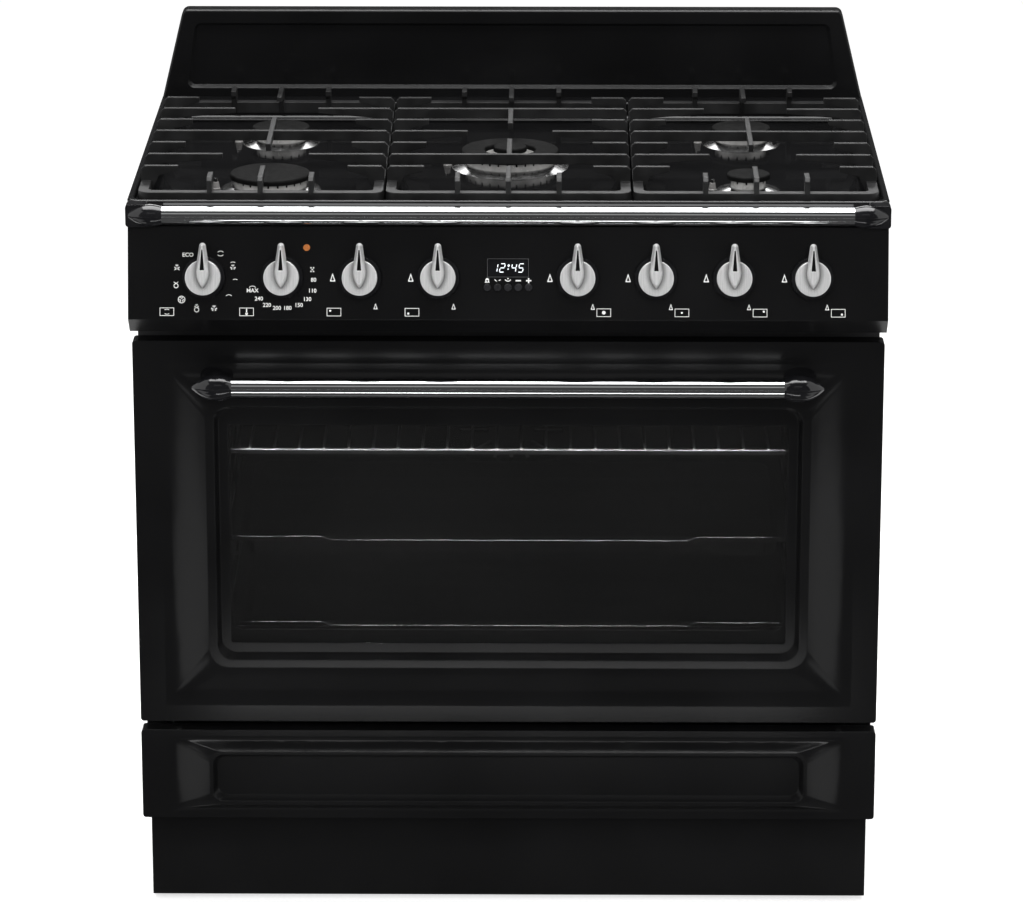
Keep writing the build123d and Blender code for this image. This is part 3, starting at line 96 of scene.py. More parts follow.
class CookerSizes(bpy.types.PropertyGroup):
    """Sizes of what is printed on the cooker or fitted to it."""

    ink: bpy.props.FloatProperty(
        name="Ink", description="Thickness of the printed signs", default=0.00012, unit="LENGTH")
    stroke: bpy.props.FloatProperty(
        name="Stroke", description="Width of the signs' lines", default=0.0007, unit="LENGTH")
    numeral: bpy.props.FloatProperty(
        name="Numerals", description="Height of the thermostat's numerals", default=0.0066, unit="LENGTH")
    digit: bpy.props.FloatProperty(
        name="Clock digits", description="Height of the clock's digits", default=0.0098, unit="LENGTH")
    inlay_gap: bpy.props.FloatProperty(
        name="Inlay gap", description="Clearance of the levers' inlays", default=0.00012, unit="LENGTH")
    inlay_sink: bpy.props.FloatProperty(
        name="Inlay sink", description="Depth of the inlays below the levers' faces", default=0.0005,
        unit="LENGTH")
    screw: bpy.props.FloatProperty(
        name="Screw head", description="Radius of the panel screws' heads", default=0.0042, unit="LENGTH")


class CookerColours(bpy.types.PropertyGroup):
    """Colours of the finishes."""

    enamel: bpy.props.FloatVectorProperty(
        name="Enamel", description="Outer enamel", default=(0.0055, 0.0055, 0.0058), subtype="COLOR")
    chrome: bpy.props.FloatVectorProperty(
        name="Chrome", description="Bright plate", default=(0.80, 0.81, 0.82), subtype="COLOR")
    knob: bpy.props.FloatVectorProperty(
        name="Knobs", description="Satin metal of the knobs", default=(0.82, 0.82, 0.82), subtype="COLOR")
    iron: bpy.props.FloatVectorProperty(
        name="Iron", description="Pan supports", default=(0.010, 0.010, 0.0102), subtype="COLOR")
    alloy: bpy.props.FloatVectorProperty(
        name="Alloy", description="Burner castings", default=(0.84, 0.83, 0.81), subtype="COLOR")
    oven: bpy.props.FloatVectorProperty(
        name="Oven enamel", description="Inside of the oven", default=(0.030, 0.030, 0.031), subtype="COLOR")
    zinc: bpy.props.FloatVectorProperty(
        name="Zinc", description="Bare sheet of the back and base", default=(0.40, 0.41, 0.42),
        subtype="COLOR")
    ink: bpy.props.FloatVectorProperty(
        name="Ink", description="Printed signs", default=(0.86, 0.86, 0.84), subtype="COLOR")


class CookerStudio(bpy.types.PropertyGroup):
    """Camera and lamps."""

    eye: bpy.props.FloatVectorProperty(
        name="Camera", description="Where the camera stands", default=(0.0517, -5.8, 2.2931),
        subtype="TRANSLATION")
    pitch: bpy.props.FloatProperty(
        name="Pitch", description="How far the camera looks down", default=math.radians(17.045),
        subtype="ANGLE")
    yaw: bpy.props.FloatProperty(
        name="Yaw", description="How far the camera turns left", default=math.radians(0.493), subtype="ANGLE")
    lens: bpy.props.FloatProperty(name="Lens", description="Focal length in millimetres", default=170.72)
    softbox: bpy.props.FloatProperty(
        name="Softbox", description="Power of the overhead softbox", default=70.0, unit="POWER")
    fill: bpy.props.FloatProperty(
        name="Fill", description="Power of the soft fill from the front", default=95.0, unit="POWER")
    rim: bpy.props.FloatProperty(
        name="Rim", description="Power of the low softbox behind", default=18.0, unit="POWER")
    oven_glow: bpy.props.FloatProperty(
        name="Oven glow", description="Power of the glow inside the oven", default=0.75, unit="POWER")
    ambient: bpy.props.FloatProperty(
        name="Ambient", description="Strength of the soft light from all round", default=0.55)


def studio():
    return bpy.context.scene.cooker_studio


def sizes():
    return bpy.context.scene.cooker_sizes


def colours():
    return bpy.context.scene.cooker_colours


def only(obj):
    """Makes obj the one selected and active object."""
    bpy.ops.object.select_all(action="DESELECT")
    obj.select_set(True)
    bpy.context.view_layer.objects.active = obj


def settle(obj, place=None):
    """Applies obj's place, and the given one, to its mesh."""
    only(obj)
    if place is not None:
        obj.matrix_world = place @ obj.matrix_world
    bpy.ops.object.transform_apply(location=True, rotation=True, scale=True)
    return obj


def join(parts, name):
    """Joins parts into one object called name."""
    bpy.ops.object.select_all(action="DESELECT")
    for part in parts:
        part.select_set(True)
    bpy.context.view_layer.objects.active = parts[0]
    if len(parts) > 1:
        bpy.ops.object.join()
    parts[0].name = parts[0].data.name = name
    return parts[0]


def fascia_place(x, rise, out=0.0):
    """Matrix that lays a flat drawing on the fascia at x and rise."""
    point = Vector((x, CREASE_Y, CREASE_Z)) + UP_SLOPE * rise + OUT_OF_SLOPE * out
    turn = Matrix((Vector((1, 0, 0)), UP_SLOPE, OUT_OF_SLOPE)).transposed()
    return Matrix.Translation(point) @ turn.to_4x4()


# Finishes: how finely soft edges and the painted corner shade are sampled, and how dark that painted shade
# gets
EDGE_SAMPLES = 4
CORNER_SHADE_SAMPLES = 8
CORNER_SHADE_DEPTH = 2.6


def finish(name, colour, rough, metal=0.0, **sockets):
    """A material with its shader, and the shader's plain values set on its own sockets."""
    material = bpy.data.materials.new(name)
    material.use_nodes = True
    shader = material.node_tree.nodes["Principled BSDF"]
    shader.inputs["Base Color"].default_value = (*colour, 1)
    shader.inputs["Roughness"].default_value = rough
    shader.inputs["Metallic"].default_value = metal
    for socket, value in sockets.items():
        shader.inputs[socket.replace("_", " ")].default_value = value
    return material


def coordinates(material, stretch=(1, 1, 1)):
    """Object coordinates, stretched, as an output socket."""
    tree = material.node_tree
    where = tree.nodes.new("ShaderNodeTexCoord")
    mapping = tree.nodes.new("ShaderNodeMapping")
    mapping.inputs["Scale"].default_value = stretch
    tree.links.new(where.outputs["Object"], mapping.inputs["Vector"])
    return mapping.outputs["Vector"]


def noise(material, scale, detail=3.0, stretch=(1, 1, 1)):
    """Noise over Object coordinates, as its value's socket."""
    texture = material.node_tree.nodes.new("ShaderNodeTexNoise")
    texture.inputs["Scale"].default_value = scale
    texture.inputs["Detail"].default_value = detail
    material.node_tree.links.new(coordinates(material, stretch), texture.inputs["Vector"])
    return texture.outputs["Fac"]


def cells(material, scale, output="Distance"):
    """Voronoi cells over Object coordinates."""
    texture = material.node_tree.nodes.new("ShaderNodeTexVoronoi")
    texture.inputs["Scale"].default_value = scale
    material.node_tree.links.new(coordinates(material), texture.inputs["Vector"])
    return texture.outputs[output]


def ramp(material, value, low, high):
    """Turns a value into the range from low to high."""
    node = material.node_tree.nodes.new("ShaderNodeMapRange")
    node.inputs["To Min"].default_value = low
    node.inputs["To Max"].default_value = high
    material.node_tree.links.new(value, node.inputs["Value"])
    return node.outputs["Result"]


def vary_colour(material, value, dark, light, start=0.35, end=0.65):
    """Base colour between dark and light by value."""
    tree = material.node_tree
    node = tree.nodes.new("ShaderNodeValToRGB")
    node.color_ramp.elements[0].position = start
    node.color_ramp.elements[0].color = (*dark, 1)
    node.color_ramp.elements[1].position = end
    node.color_ramp.elements[1].color = (*light, 1)
    tree.links.new(value, node.inputs["Fac"])
    tree.links.new(node.outputs["Color"], tree.nodes["Principled BSDF"].inputs["Base Color"])


def vary_rough(material, value, low, high):
    """Roughness between low and high by value."""
    shader = material.node_tree.nodes["Principled BSDF"]
    material.node_tree.links.new(ramp(material, value, low, high), shader.inputs["Roughness"])


def relief(material, value, distance, strength=1.0, edge=0.0):
    """Bump by value, over edges softened by the given radius."""
    tree = material.node_tree
    bump = tree.nodes.new("ShaderNodeBump")
    bump.inputs["Distance"].default_value = distance
    bump.inputs["Strength"].default_value = strength
    tree.links.new(value, bump.inputs["Height"])
    if edge:
        soft = tree.nodes.new("ShaderNodeBevel")
        soft.samples = EDGE_SAMPLES
        soft.inputs["Radius"].default_value = edge
        tree.links.new(soft.outputs["Normal"], bump.inputs["Normal"])
    tree.links.new(bump.outputs["Normal"], tree.nodes["Principled BSDF"].inputs["Normal"])


def painted_corner_shade(material, reach):
    """Paints shade into the base colour in the piece's own corners, up to reach away, by ambient occlusion.
    """
    tree = material.node_tree
    base = tree.nodes["Principled BSDF"].inputs["Base Color"]
    shade = tree.nodes.new("ShaderNodeAmbientOcclusion")
    shade.only_local = True
    shade.samples = CORNER_SHADE_SAMPLES
    shade.inputs["Distance"].default_value = reach
    # Painted shade: the occlusion, raised to a power, darkens the base colour
    deepen = tree.nodes.new("ShaderNodeMath")
    deepen.operation = "POWER"
    deepen.inputs[1].default_value = CORNER_SHADE_DEPTH
    mix = tree.nodes.new("ShaderNodeVectorMath")
    mix.operation = "SCALE"
    tree.links.new(shade.outputs["AO"], deepen.inputs[0])
    tree.links.new(base.links[0].from_socket, mix.inputs[0])
    tree.links.new(deepen.outputs["Value"], mix.inputs["Scale"])
    tree.links.new(mix.outputs["Vector"], base)


def tint(colour, factor):
    """Colour made darker or lighter."""
    return tuple(channel * factor for channel in colour)


def enamel():
    """Fired gloss enamel: a faint orange peel and slow changes of gloss."""
    colour = tuple(colours().enamel)
    material = finish("gloss_enamel", colour, 0.16, Specular_IOR_Level=0.28)
    vary_colour(material, noise(material, 6.0), tint(colour, 0.85), tint(colour, 1.2))
    vary_rough(material, noise(material, 9.0, 4.0), 0.12, 0.24)
    relief(material, noise(material, 420.0, 2.0), 0.00002, 0.5, 0.0016)
    return material


def hob_enamel():
    """The hob's smoother enamel, in which the burners show."""
    colour = tuple(colours().enamel)
    material = finish("hob_enamel", colour, 0.08, Specular_IOR_Level=0.35)
    vary_colour(material, noise(material, 8.0), tint(colour, 0.85), tint(colour, 1.2))
    vary_rough(material, noise(material, 12.0, 4.0), 0.05, 0.12)
    relief(material, noise(material, 300.0, 2.0), 0.00002, 0.4, 0.0016)
    return material


def tray_enamel():
    """Deep black of the baking trays."""
    material = finish("tray_enamel", (0.004, 0.004, 0.004), 0.2, Specular_IOR_Level=1.0)
    vary_colour(material, cells(material, 700.0), (0.010, 0.010, 0.010), (0.003, 0.003, 0.003), 0.02, 0.2)
    vary_rough(material, noise(material, 30.0), 0.16, 0.26)
    relief(material, noise(material, 300.0), 0.00003, 0.4, 0.0018)
    return material


def oven_enamel():
    """Dark oven enamel with fine pale flecks."""
    colour = tuple(colours().oven)
    material = finish("oven_enamel", colour, 0.5, Specular_IOR_Level=0.25)
    vary_colour(material, cells(material, 700.0), tint(colour, 6.0), colour, 0.02, 0.22)
    vary_rough(material, noise(material, 30.0), 0.42, 0.58)
    relief(material, noise(material, 300.0), 0.00003, 0.5, 0.001)
    return material


def bright_plate():
    """Polished chrome with a trace of drawing lines."""
    colour = tuple(colours().chrome)
    material = finish("bright_plate", colour, 0.07, 1.0)
    vary_colour(material, noise(material, 14.0), tint(colour, 0.93), colour)
    vary_rough(material, noise(material, 220.0, 3.0, (0.05, 1, 1)), 0.04, 0.12)
    return material


def wire_plate():
    """Plated round wire, a little dulled by heat in its roughness; its colour, about a third of the bright
    plate's, is painted shade that keeps the shelf dim inside the oven.
    """
    colour = tuple(colours().chrome)
    material = finish("wire_plate", colour, 0.4, 1.0)
    # Painted shade: the chrome colour cut to about a third so the shelf stays dim
    vary_colour(material, noise(material, 60.0), tint(colour, 0.34), tint(colour, 0.42))
    vary_rough(material, noise(material, 150.0), 0.36, 0.46)
    relief(material, noise(material, 600.0), 0.00001, 0.3, 0.0024)
    return material


def black_plate():
    """Dark plated end caps with a deep gloss."""
    material = finish("black_plate", (0.006, 0.006, 0.007), 0.08, 0.0, Specular_IOR_Level=0.6)
    vary_colour(material, noise(material, 60.0), (0.005, 0.005, 0.006), (0.009, 0.009, 0.010))
    vary_rough(material, noise(material, 150.0), 0.05, 0.12)
    relief(material, noise(material, 500.0), 0.00001, 0.4, 0.0006)
    return material


def satin_metal():
    """Knobs: satin metal with fine turning lines."""
    colour = tuple(colours().knob)
    material = finish("satin_metal", colour, 0.3, 0.55)
    lines = noise(material, 900.0, 2.0, (1, 0.04, 0.04))
    vary_colour(material, lines, tint(colour, 0.86), tint(colour, 1.08), 0.3, 0.7)
    vary_rough(material, noise(material, 700.0, 2.0, (1, 0.05, 0.05)), 0.26, 0.44)
    relief(material, lines, 0.00002, 0.35, 0.0006)
    # Painted shade: darker where the lever meets the disc and in the knob's other corners
    painted_corner_shade(material, 0.007)
    return material


def cast_iron():
    """Enamelled casting: fine grain, worn a little paler in places."""
    colour = tuple(colours().iron)
    material = finish("cast_iron", colour, 0.42, Specular_IOR_Level=0.4)
    vary_colour(material, noise(material, 40.0, 5.0), tint(colour, 0.8), tint(colour, 1.7))
    vary_rough(material, noise(material, 60.0), 0.32, 0.5)
    relief(material, noise(material, 900.0, 4.0), 0.0001, 0.5, 0.0018)
    return material


def burner_alloy():
    """Cast burner alloy, dull with bright machined patches."""
    colour = tuple(colours().alloy)
    material = finish("burner_alloy", colour, 0.3, 0.3)
    vary_colour(material, noise(material, 70.0, 4.0), tint(colour, 0.7), colour)
    vary_rough(material, noise(material, 120.0), 0.14, 0.34)
    relief(material, noise(material, 1100.0), 0.000008, 0.4, 0.0005)
    # Painted shade: darker in the crowns' slots and corners
    painted_corner_shade(material, 0.006)
    return material


def cup_alloy():
    """Darker drawn metal of the burner cups."""
    material = plain_metal("cup_alloy", (0.34, 0.34, 0.34), 0.14, 0.26, 90.0)
    # Painted shade: darker in the cups' own corners and hollows
    painted_corner_shade(material, 0.01)
    return material


def burner_black():
    """Matt enamel of the burner caps."""
    material = finish("burner_black", (0.006, 0.006, 0.006), 0.6, Specular_IOR_Level=0.02)
    vary_colour(material, noise(material, 90.0, 4.0), (0.0045, 0.0045, 0.0045), (0.009, 0.009, 0.009))
    vary_rough(material, noise(material, 140.0), 0.5, 0.7)
    relief(material, noise(material, 1400.0, 3.0), 0.00005, 0.5, 0.0008)
    return material


def zinc_sheet():
    """Zinc-coated sheet with its crystal pattern."""
    colour = tuple(colours().zinc)
    material = finish("zinc_sheet", colour, 0.42, 1.0)
    crystals = cells(material, 110.0, "Color")
    vary_colour(material, crystals, tint(colour, 0.88), tint(colour, 1.06), 0.1, 0.9)
    vary_rough(material, noise(material, 80.0), 0.34, 0.52)
    return material


def plain_metal(name, colour, low, high, scale=120.0):
    """Bare machined or drawn metal."""
    material = finish(name, colour, low, 1.0)
    vary_colour(material, noise(material, scale, 3.0), tint(colour, 0.82), tint(colour, 1.08))
    vary_rough(material, noise(material, 2 * scale), low, high)
    return material


def moulded(name, colour, low, high, grain=0.00002):
    """Moulded plastic or rubber with a fine grain."""
    material = finish(name, colour, low)
    vary_colour(material, noise(material, 50.0), tint(colour, 0.85), tint(colour, 1.2))
    vary_rough(material, noise(material, 160.0), low, high)
    relief(material, noise(material, 1500.0), grain, 0.5)
    return material


def tinted_pane(name, colour, see_through):
    """Glass pane that lets part of the light straight through."""
    material = finish(name, colour, 0.03, 0.0, Alpha=see_through, Coat_Weight=0.4, Coat_Roughness=0.02)
    vary_colour(material, noise(material, 4.0), tint(colour, 0.85), tint(colour, 1.15))
    vary_rough(material, noise(material, 5.0), 0.015, 0.05)
    return material


def printed_white():
    """White ceramic ink."""
    colour = tuple(colours().ink)
    material = finish("printed_white", colour, 0.5)
    vary_colour(material, noise(material, 800.0), tint(colour, 0.92), colour)
    return material


def lamp_lens():
    """Amber lens."""
    material = finish("lamp_lens", (0.40, 0.13, 0.03), 0.2, Emission_Strength=0.08)
    material.node_tree.nodes["Principled BSDF"].inputs["Emission Color"].default_value = (0.55, 0.18, 0.03, 1)
    vary_colour(material, noise(material, 500.0), (0.32, 0.10, 0.025), (0.50, 0.17, 0.04))
    return material


def glowing_digits():
    """Lit segments of the clock."""
    material = finish("lit_segments", (0.9, 0.93, 0.95), 0.4, Emission_Strength=0.55)
    material.node_tree.nodes["Principled BSDF"].inputs["Emission Color"].default_value = (0.9, 0.95, 1.0, 1)
    vary_colour(material, noise(material, 900.0), (0.82, 0.86, 0.9), (0.95, 0.97, 1.0))
    return material


# Which finish each solid wears
WEARS = {
    enamel: ("door_panel", "storage_flap", "control_fascia", "backsplash", "plinth",
             "side_panel_left", "side_panel_right"),
    hob_enamel: ("hob_top",),
    oven_enamel: ("oven_cavity", "fan_cover", "door_liner"),
    tray_enamel: ("baking_trays",),
    bright_plate: ("door_handle", "front_rail"),
    wire_plate: ("side_racks", "wire_shelf"),
    black_plate: ("handle_end_caps", "rail_end_caps", "knob_bezels"),
    cast_iron: ("pan_support_left", "pan_support_centre", "pan_support_right"),
    burner_alloy: ("burner_crowns",),
    cup_alloy: ("burner_cups",),
    burner_black: ("burner_caps",),
    zinc_sheet: ("base_tray", "rear_panel", "storage_box", "fan_motor", "oven_fan"),
    lamp_lens: ("indicator_lamp",),
}


class COOKER_OT_finishes(bpy.types.Operator):
    """Give every solid of the cooker its finish"""

    bl_idname = "cooker.finishes"
    bl_label = "Finishes"

    def execute(self, context):
        coats = {}
        for make, names in WEARS.items():
            material = make()
            coats.update({name: material for name in names})
        satin = satin_metal()
        steel = plain_metal("ground_steel", (0.55, 0.55, 0.56), 0.25, 0.4)
        button = moulded("button_cap", (0.016, 0.016, 0.018), 0.22, 0.34)
        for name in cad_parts:
            if name.startswith("knob_") and name != "knob_bezels":
                coats[name] = satin
            if name.startswith("spindle_") or name in ("door_hinge_arms", "levelling_feet"):
                coats[name] = steel
            if name.startswith("button_"):
                coats[name] = button
        coats["door_outer_glass"] = tinted_pane("window_glass", (0.012, 0.012, 0.012), 0.4)
        coats["door_inner_glass"] = tinted_pane("inner_glass", (0.03, 0.03, 0.03), 0.12)
        coats["door_seal"] = moulded("seal_rubber", (0.02, 0.02, 0.02), 0.6, 0.75, 0.00008)
        coats["timer_module"] = moulded("timer_case", (0.006, 0.006, 0.007), 0.1, 0.18, 0.000004)
        coats["taps_and_switches"] = plain_metal("tap_brass", (0.62, 0.46, 0.20), 0.3, 0.45)
        coats["gas_pipework"] = plain_metal("pipe_alloy", (0.62, 0.63, 0.64), 0.28, 0.42)
        coats["grill_element"] = plain_metal("heater_sheath", (0.14, 0.13, 0.12), 0.4, 0.6)
        missing = [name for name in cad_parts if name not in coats]
        if missing:
            raise RuntimeError(f"no finish for {missing}")
        for name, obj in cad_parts.items():
            obj.data.materials.clear()
            obj.data.materials.append(coats[name])
        return {"FINISHED"}


# Drawings for the printed signs, in millimetres: the plans' size and place, the flames' places, the clock's
PLAN_SIZE = (17.0, 9.8)
PLAN_DROP = 41.0
PLAN_ASIDE = 31.0
HIGH_FLAME_X = -32.5
LOW_FLAME = (18.0, -34.0)
DISPLAY_SIZE = (49.0, 22.0)
DISPLAY_LINE = 0.6
SIGN_LIFT = 8.0
SIGN_GROWTH = 1.5
DIGIT_WIDE = 5.2
DIGIT_BAR = 1.15
DIGIT_PITCH = 8.4
DIGIT_GAP = 0.9
DIGIT_LEAN = 0.18
FIRST_PAIR_X = -15.0
SECOND_PAIR_X = 7.0


def rectangle(x, y, width, height):
    """Outline of a rectangle about x and y."""
    return [(x - width / 2, y - height / 2), (x + width / 2, y - height / 2),
            (x + width / 2, y + height / 2), (x - width / 2, y + height / 2)]


def disc(x, y, radius, steps=20):
    """Outline of a round dot."""
    return [(x + radius * math.cos(math.tau * k / steps), y + radius * math.sin(math.tau * k / steps))
            for k in range(steps)]


def arch(x, y, radius, width, start, end, steps=10):
    """Band along an arc, from start to end in degrees."""
    angles = [math.radians(start + (end - start) * k / steps) for k in range(steps + 1)]
    far, near = radius + width / 2, radius - width / 2
    outer = [(x + far * math.cos(a), y + far * math.sin(a)) for a in angles]
    inner = [(x + near * math.cos(a), y + near * math.sin(a)) for a in angles]
    return outer + inner[::-1]


def drop(x, y, width, height):
    """Outline of a flame."""
    shape = ((0, 0.5), (0.14, 0.26), (0.32, -0.1), (0.5, -0.4), (0.46, -0.5), (0, -0.5),
             (-0.46, -0.5), (-0.5, -0.4), (-0.32, -0.1), (-0.14, 0.26))
    return [(x + u * width, y + v * height) for u, v in shape]


def fan_sign(x, y, radius):
    """Three blades round a hub."""
    loops = []
    for k in range(3):
        a = math.tau * k / 3 + math.pi / 2
        for spread in (-0.42, 0.42):
            loops.append([
                (x + 0.2 * radius * math.cos(a), y + 0.2 * radius * math.sin(a)),
                (x + radius * math.cos(a + spread * 0.4), y + radius * math.sin(a + spread * 0.4)),
                (x + radius * math.cos(a + spread * 1.6), y + radius * math.sin(a + spread * 1.6)),
            ])
    return loops


def ring_sign(x, y, radius, width):
    """Ring of the given width."""
    return [disc(x, y, radius), disc(x, y, radius - width)]


def frame_sign(x, y, width, height, line):
    """Rectangle drawn as a line."""
    return [rectangle(x, y, width, height), rectangle(x, y, width - 2 * line, height - 2 * line)]


def drawing(loops, name, thickness):
    """Filled flat drawing of closed outlines in millimetres, as a mesh with a little thickness."""
    curve = bpy.data.curves.new(name, "CURVE")
    curve.dimensions = "2D"
    curve.fill_mode = "BOTH"
    curve.extrude = thickness / 2
    for loop in loops:
        spline = curve.splines.new("POLY")
        spline.points.add(len(loop) - 1)
        spline.use_cyclic_u = True
        for point, (x, y) in zip(spline.points, loop):
            point.co = (x * MM, y * MM, thickness / 2, 1)
    obj = bpy.data.objects.new(name, curve)
    bpy.context.collection.objects.link(obj)
    only(obj)
    bpy.ops.object.convert(target="MESH")
    return bpy.context.view_layer.objects.active


def lettering(words, x, y, size, thickness):
    """Flat text centred on x and y in millimetres, as a mesh."""
    bpy.ops.object.select_all(action="DESELECT")
    bpy.ops.object.text_add()
    obj = bpy.context.view_layer.objects.active
    obj.data.body = words
    obj.data.size = size
    obj.data.align_x = "CENTER"
    obj.data.align_y = "CENTER"
    obj.data.extrude = thickness / 2
    obj.data.offset = size * 0.018
    obj.data.resolution_u = 3
    bpy.ops.object.convert(target="MESH")
    obj = bpy.context.view_layer.objects.active
    obj.matrix_world = Matrix.Translation((x * MM, y * MM, thickness / 2))
    return settle(obj)


def dress(obj, material, body):
    """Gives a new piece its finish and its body."""
    obj.data.materials.clear()
    obj.data.materials.append(material)
    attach(obj, body)


class COOKER_OT_burner_signs(bpy.types.Operator):
    """Print the flames and burner plans beside the gas knobs"""

    bl_idname = "cooker.burner_signs"
    bl_label = "Burner signs"

    def execute(self, context):
        line = sizes().stroke / MM
        # Where each knob's burner sits in its little plan: sideways, up, and the dot's size
        dots = ((-4.4, 1.6, 1.3), (-4.4, -1.6, 1.3), (0, 0, 2.2),
                (0, 0, 1.2), (4.4, 1.6, 1.3), (4.4, -1.6, 1.3))
        rise = KNOB_RISE / MM
        loops = []
        for x, (u, v, r) in zip(GAS_KNOBS, dots):
            x /= MM
            high_x = x + HIGH_FLAME_X
            loops += [drop(high_x, rise, 6.4, 10.0), drop(high_x, rise - 0.9, 3.2, 5.4)]
            low_x, low_rise = x + LOW_FLAME[0], rise + LOW_FLAME[1]
            loops += [drop(low_x, low_rise, 4.8, 7.2), drop(low_x, low_rise - 0.6, 2.4, 4.0)]
            plan_x = x + math.copysign(PLAN_ASIDE, x)
            loops += frame_sign(plan_x, rise - PLAN_DROP, *PLAN_SIZE, line)
            loops.append(disc(plan_x + u, rise - PLAN_DROP + v, r))
        signs = drawing(loops, "burner_signs", sizes().ink)
        settle(signs, fascia_place(0, 0))
        dress(signs, printed_white(), "cabinet")
        return {"FINISHED"}


class COOKER_OT_oven_signs(bpy.types.Operator):
    """Print the thermostat's scale and the oven's functions"""

    bl_idname = "cooker.oven_signs"
    bl_label = "Oven signs"

    def execute(self, context):
        line = sizes().stroke / MM
        rise = KNOB_RISE / MM
        ink = sizes().ink
        scale = (("80", 37, -3.3), ("110", 35.5, -16), ("130", 29.5, -26), ("150", 19.5, -33),
                 ("180", 6.2, -36.5), ("200", -6.2, -36.5), ("220", -18, -33), ("240", -27.5, -25.5),
                 ("MAX", -35, -16))
        heat_x = THERMOSTAT_X / MM
        parts = [lettering(text, heat_x + u, rise + v, sizes().numeral, ink) for text, u, v in scale]
        pick_x = SELECTOR_X / MM
        parts.append(lettering("ECO", pick_x - 19, rise + 26, sizes().numeral, ink))

        def bow(x, up, radius, start, end):
            """Arc of the signs' line round the selector."""
            return arch(pick_x + x, rise + up, radius, line, start, end)

        def blades(x, up, radius):
            """Fan round the selector."""
            return fan_sign(pick_x + x, rise + up, radius)

        def ring(x, up, radius, width):
            """Ring heater round the selector."""
            return ring_sign(pick_x + x, rise + up, radius, width)

        # Thermostat: the arc over MAX, the keep-warm dots and the plan under the knob
        loops = [arch(heat_x - 35, rise - 15.5, 5.0, line, 40, 140)]
        for k in range(4):
            a = math.radians(45 + 90 * k)
            loops.append(disc(heat_x + 35.5 + 2.2 * math.cos(a), rise + 9 + 3.0 * math.sin(a), 0.9, 10))
        loops += [disc(heat_x + 35.5, rise + 9, 0.9, 10)]
        loops += frame_sign(heat_x - 42, rise - PLAN_DROP, *PLAN_SIZE, line)
        loops += [rectangle(heat_x - 42, rise - 40, 1.4, 5.4), disc(heat_x - 42, rise - 43.2, 1.6)]
        # Selector: the plan under the knob, then the functions clockwise from the top
        loops += frame_sign(pick_x - 44, rise - PLAN_DROP, *PLAN_SIZE, line)
        loops += [bow(-44, -42.2, 4.2, 50, 130), bow(-44, -39.8, 4.2, 230, 310)]
        loops += [bow(19.4, 26.4, 4.2, 40, 140), bow(19.4, 29, 4.2, 220, 320)]
        loops += blades(34, 11.6, 3.2) + [bow(34, 13.6, 4.2, 50, 130)]
        loops += [bow(36.6, -6.4, 4.0, 50, 130), bow(29.1, -25.6, 4.8, 45, 135)]
        loops += blades(11.7, -36.8, 3.6)
        loops += ring(-8.9, -38.6, 3.0, 0.8) + blades(-8.9, -34.6, 2.6)
        loops += ring(-26.6, -26.6, 4.4, 0.9) + blades(-26.6, -26.6, 3.0)
        loops += ring(-33.1, -10.4, 2.9, 0.9) + [bow(-33.1, -4.6, 2.6, 200, 340)]
        loops += blades(-32, 11.6, 3.2) + [bow(-32, 5.4, 4.0, 40, 140)]
        parts.append(drawing(loops, "oven_sign_lines", ink))
        signs = join(parts, "oven_signs")
        settle(signs, fascia_place(0, 0))
        dress(signs, bpy.data.materials["printed_white"], "cabinet")
        return {"FINISHED"}


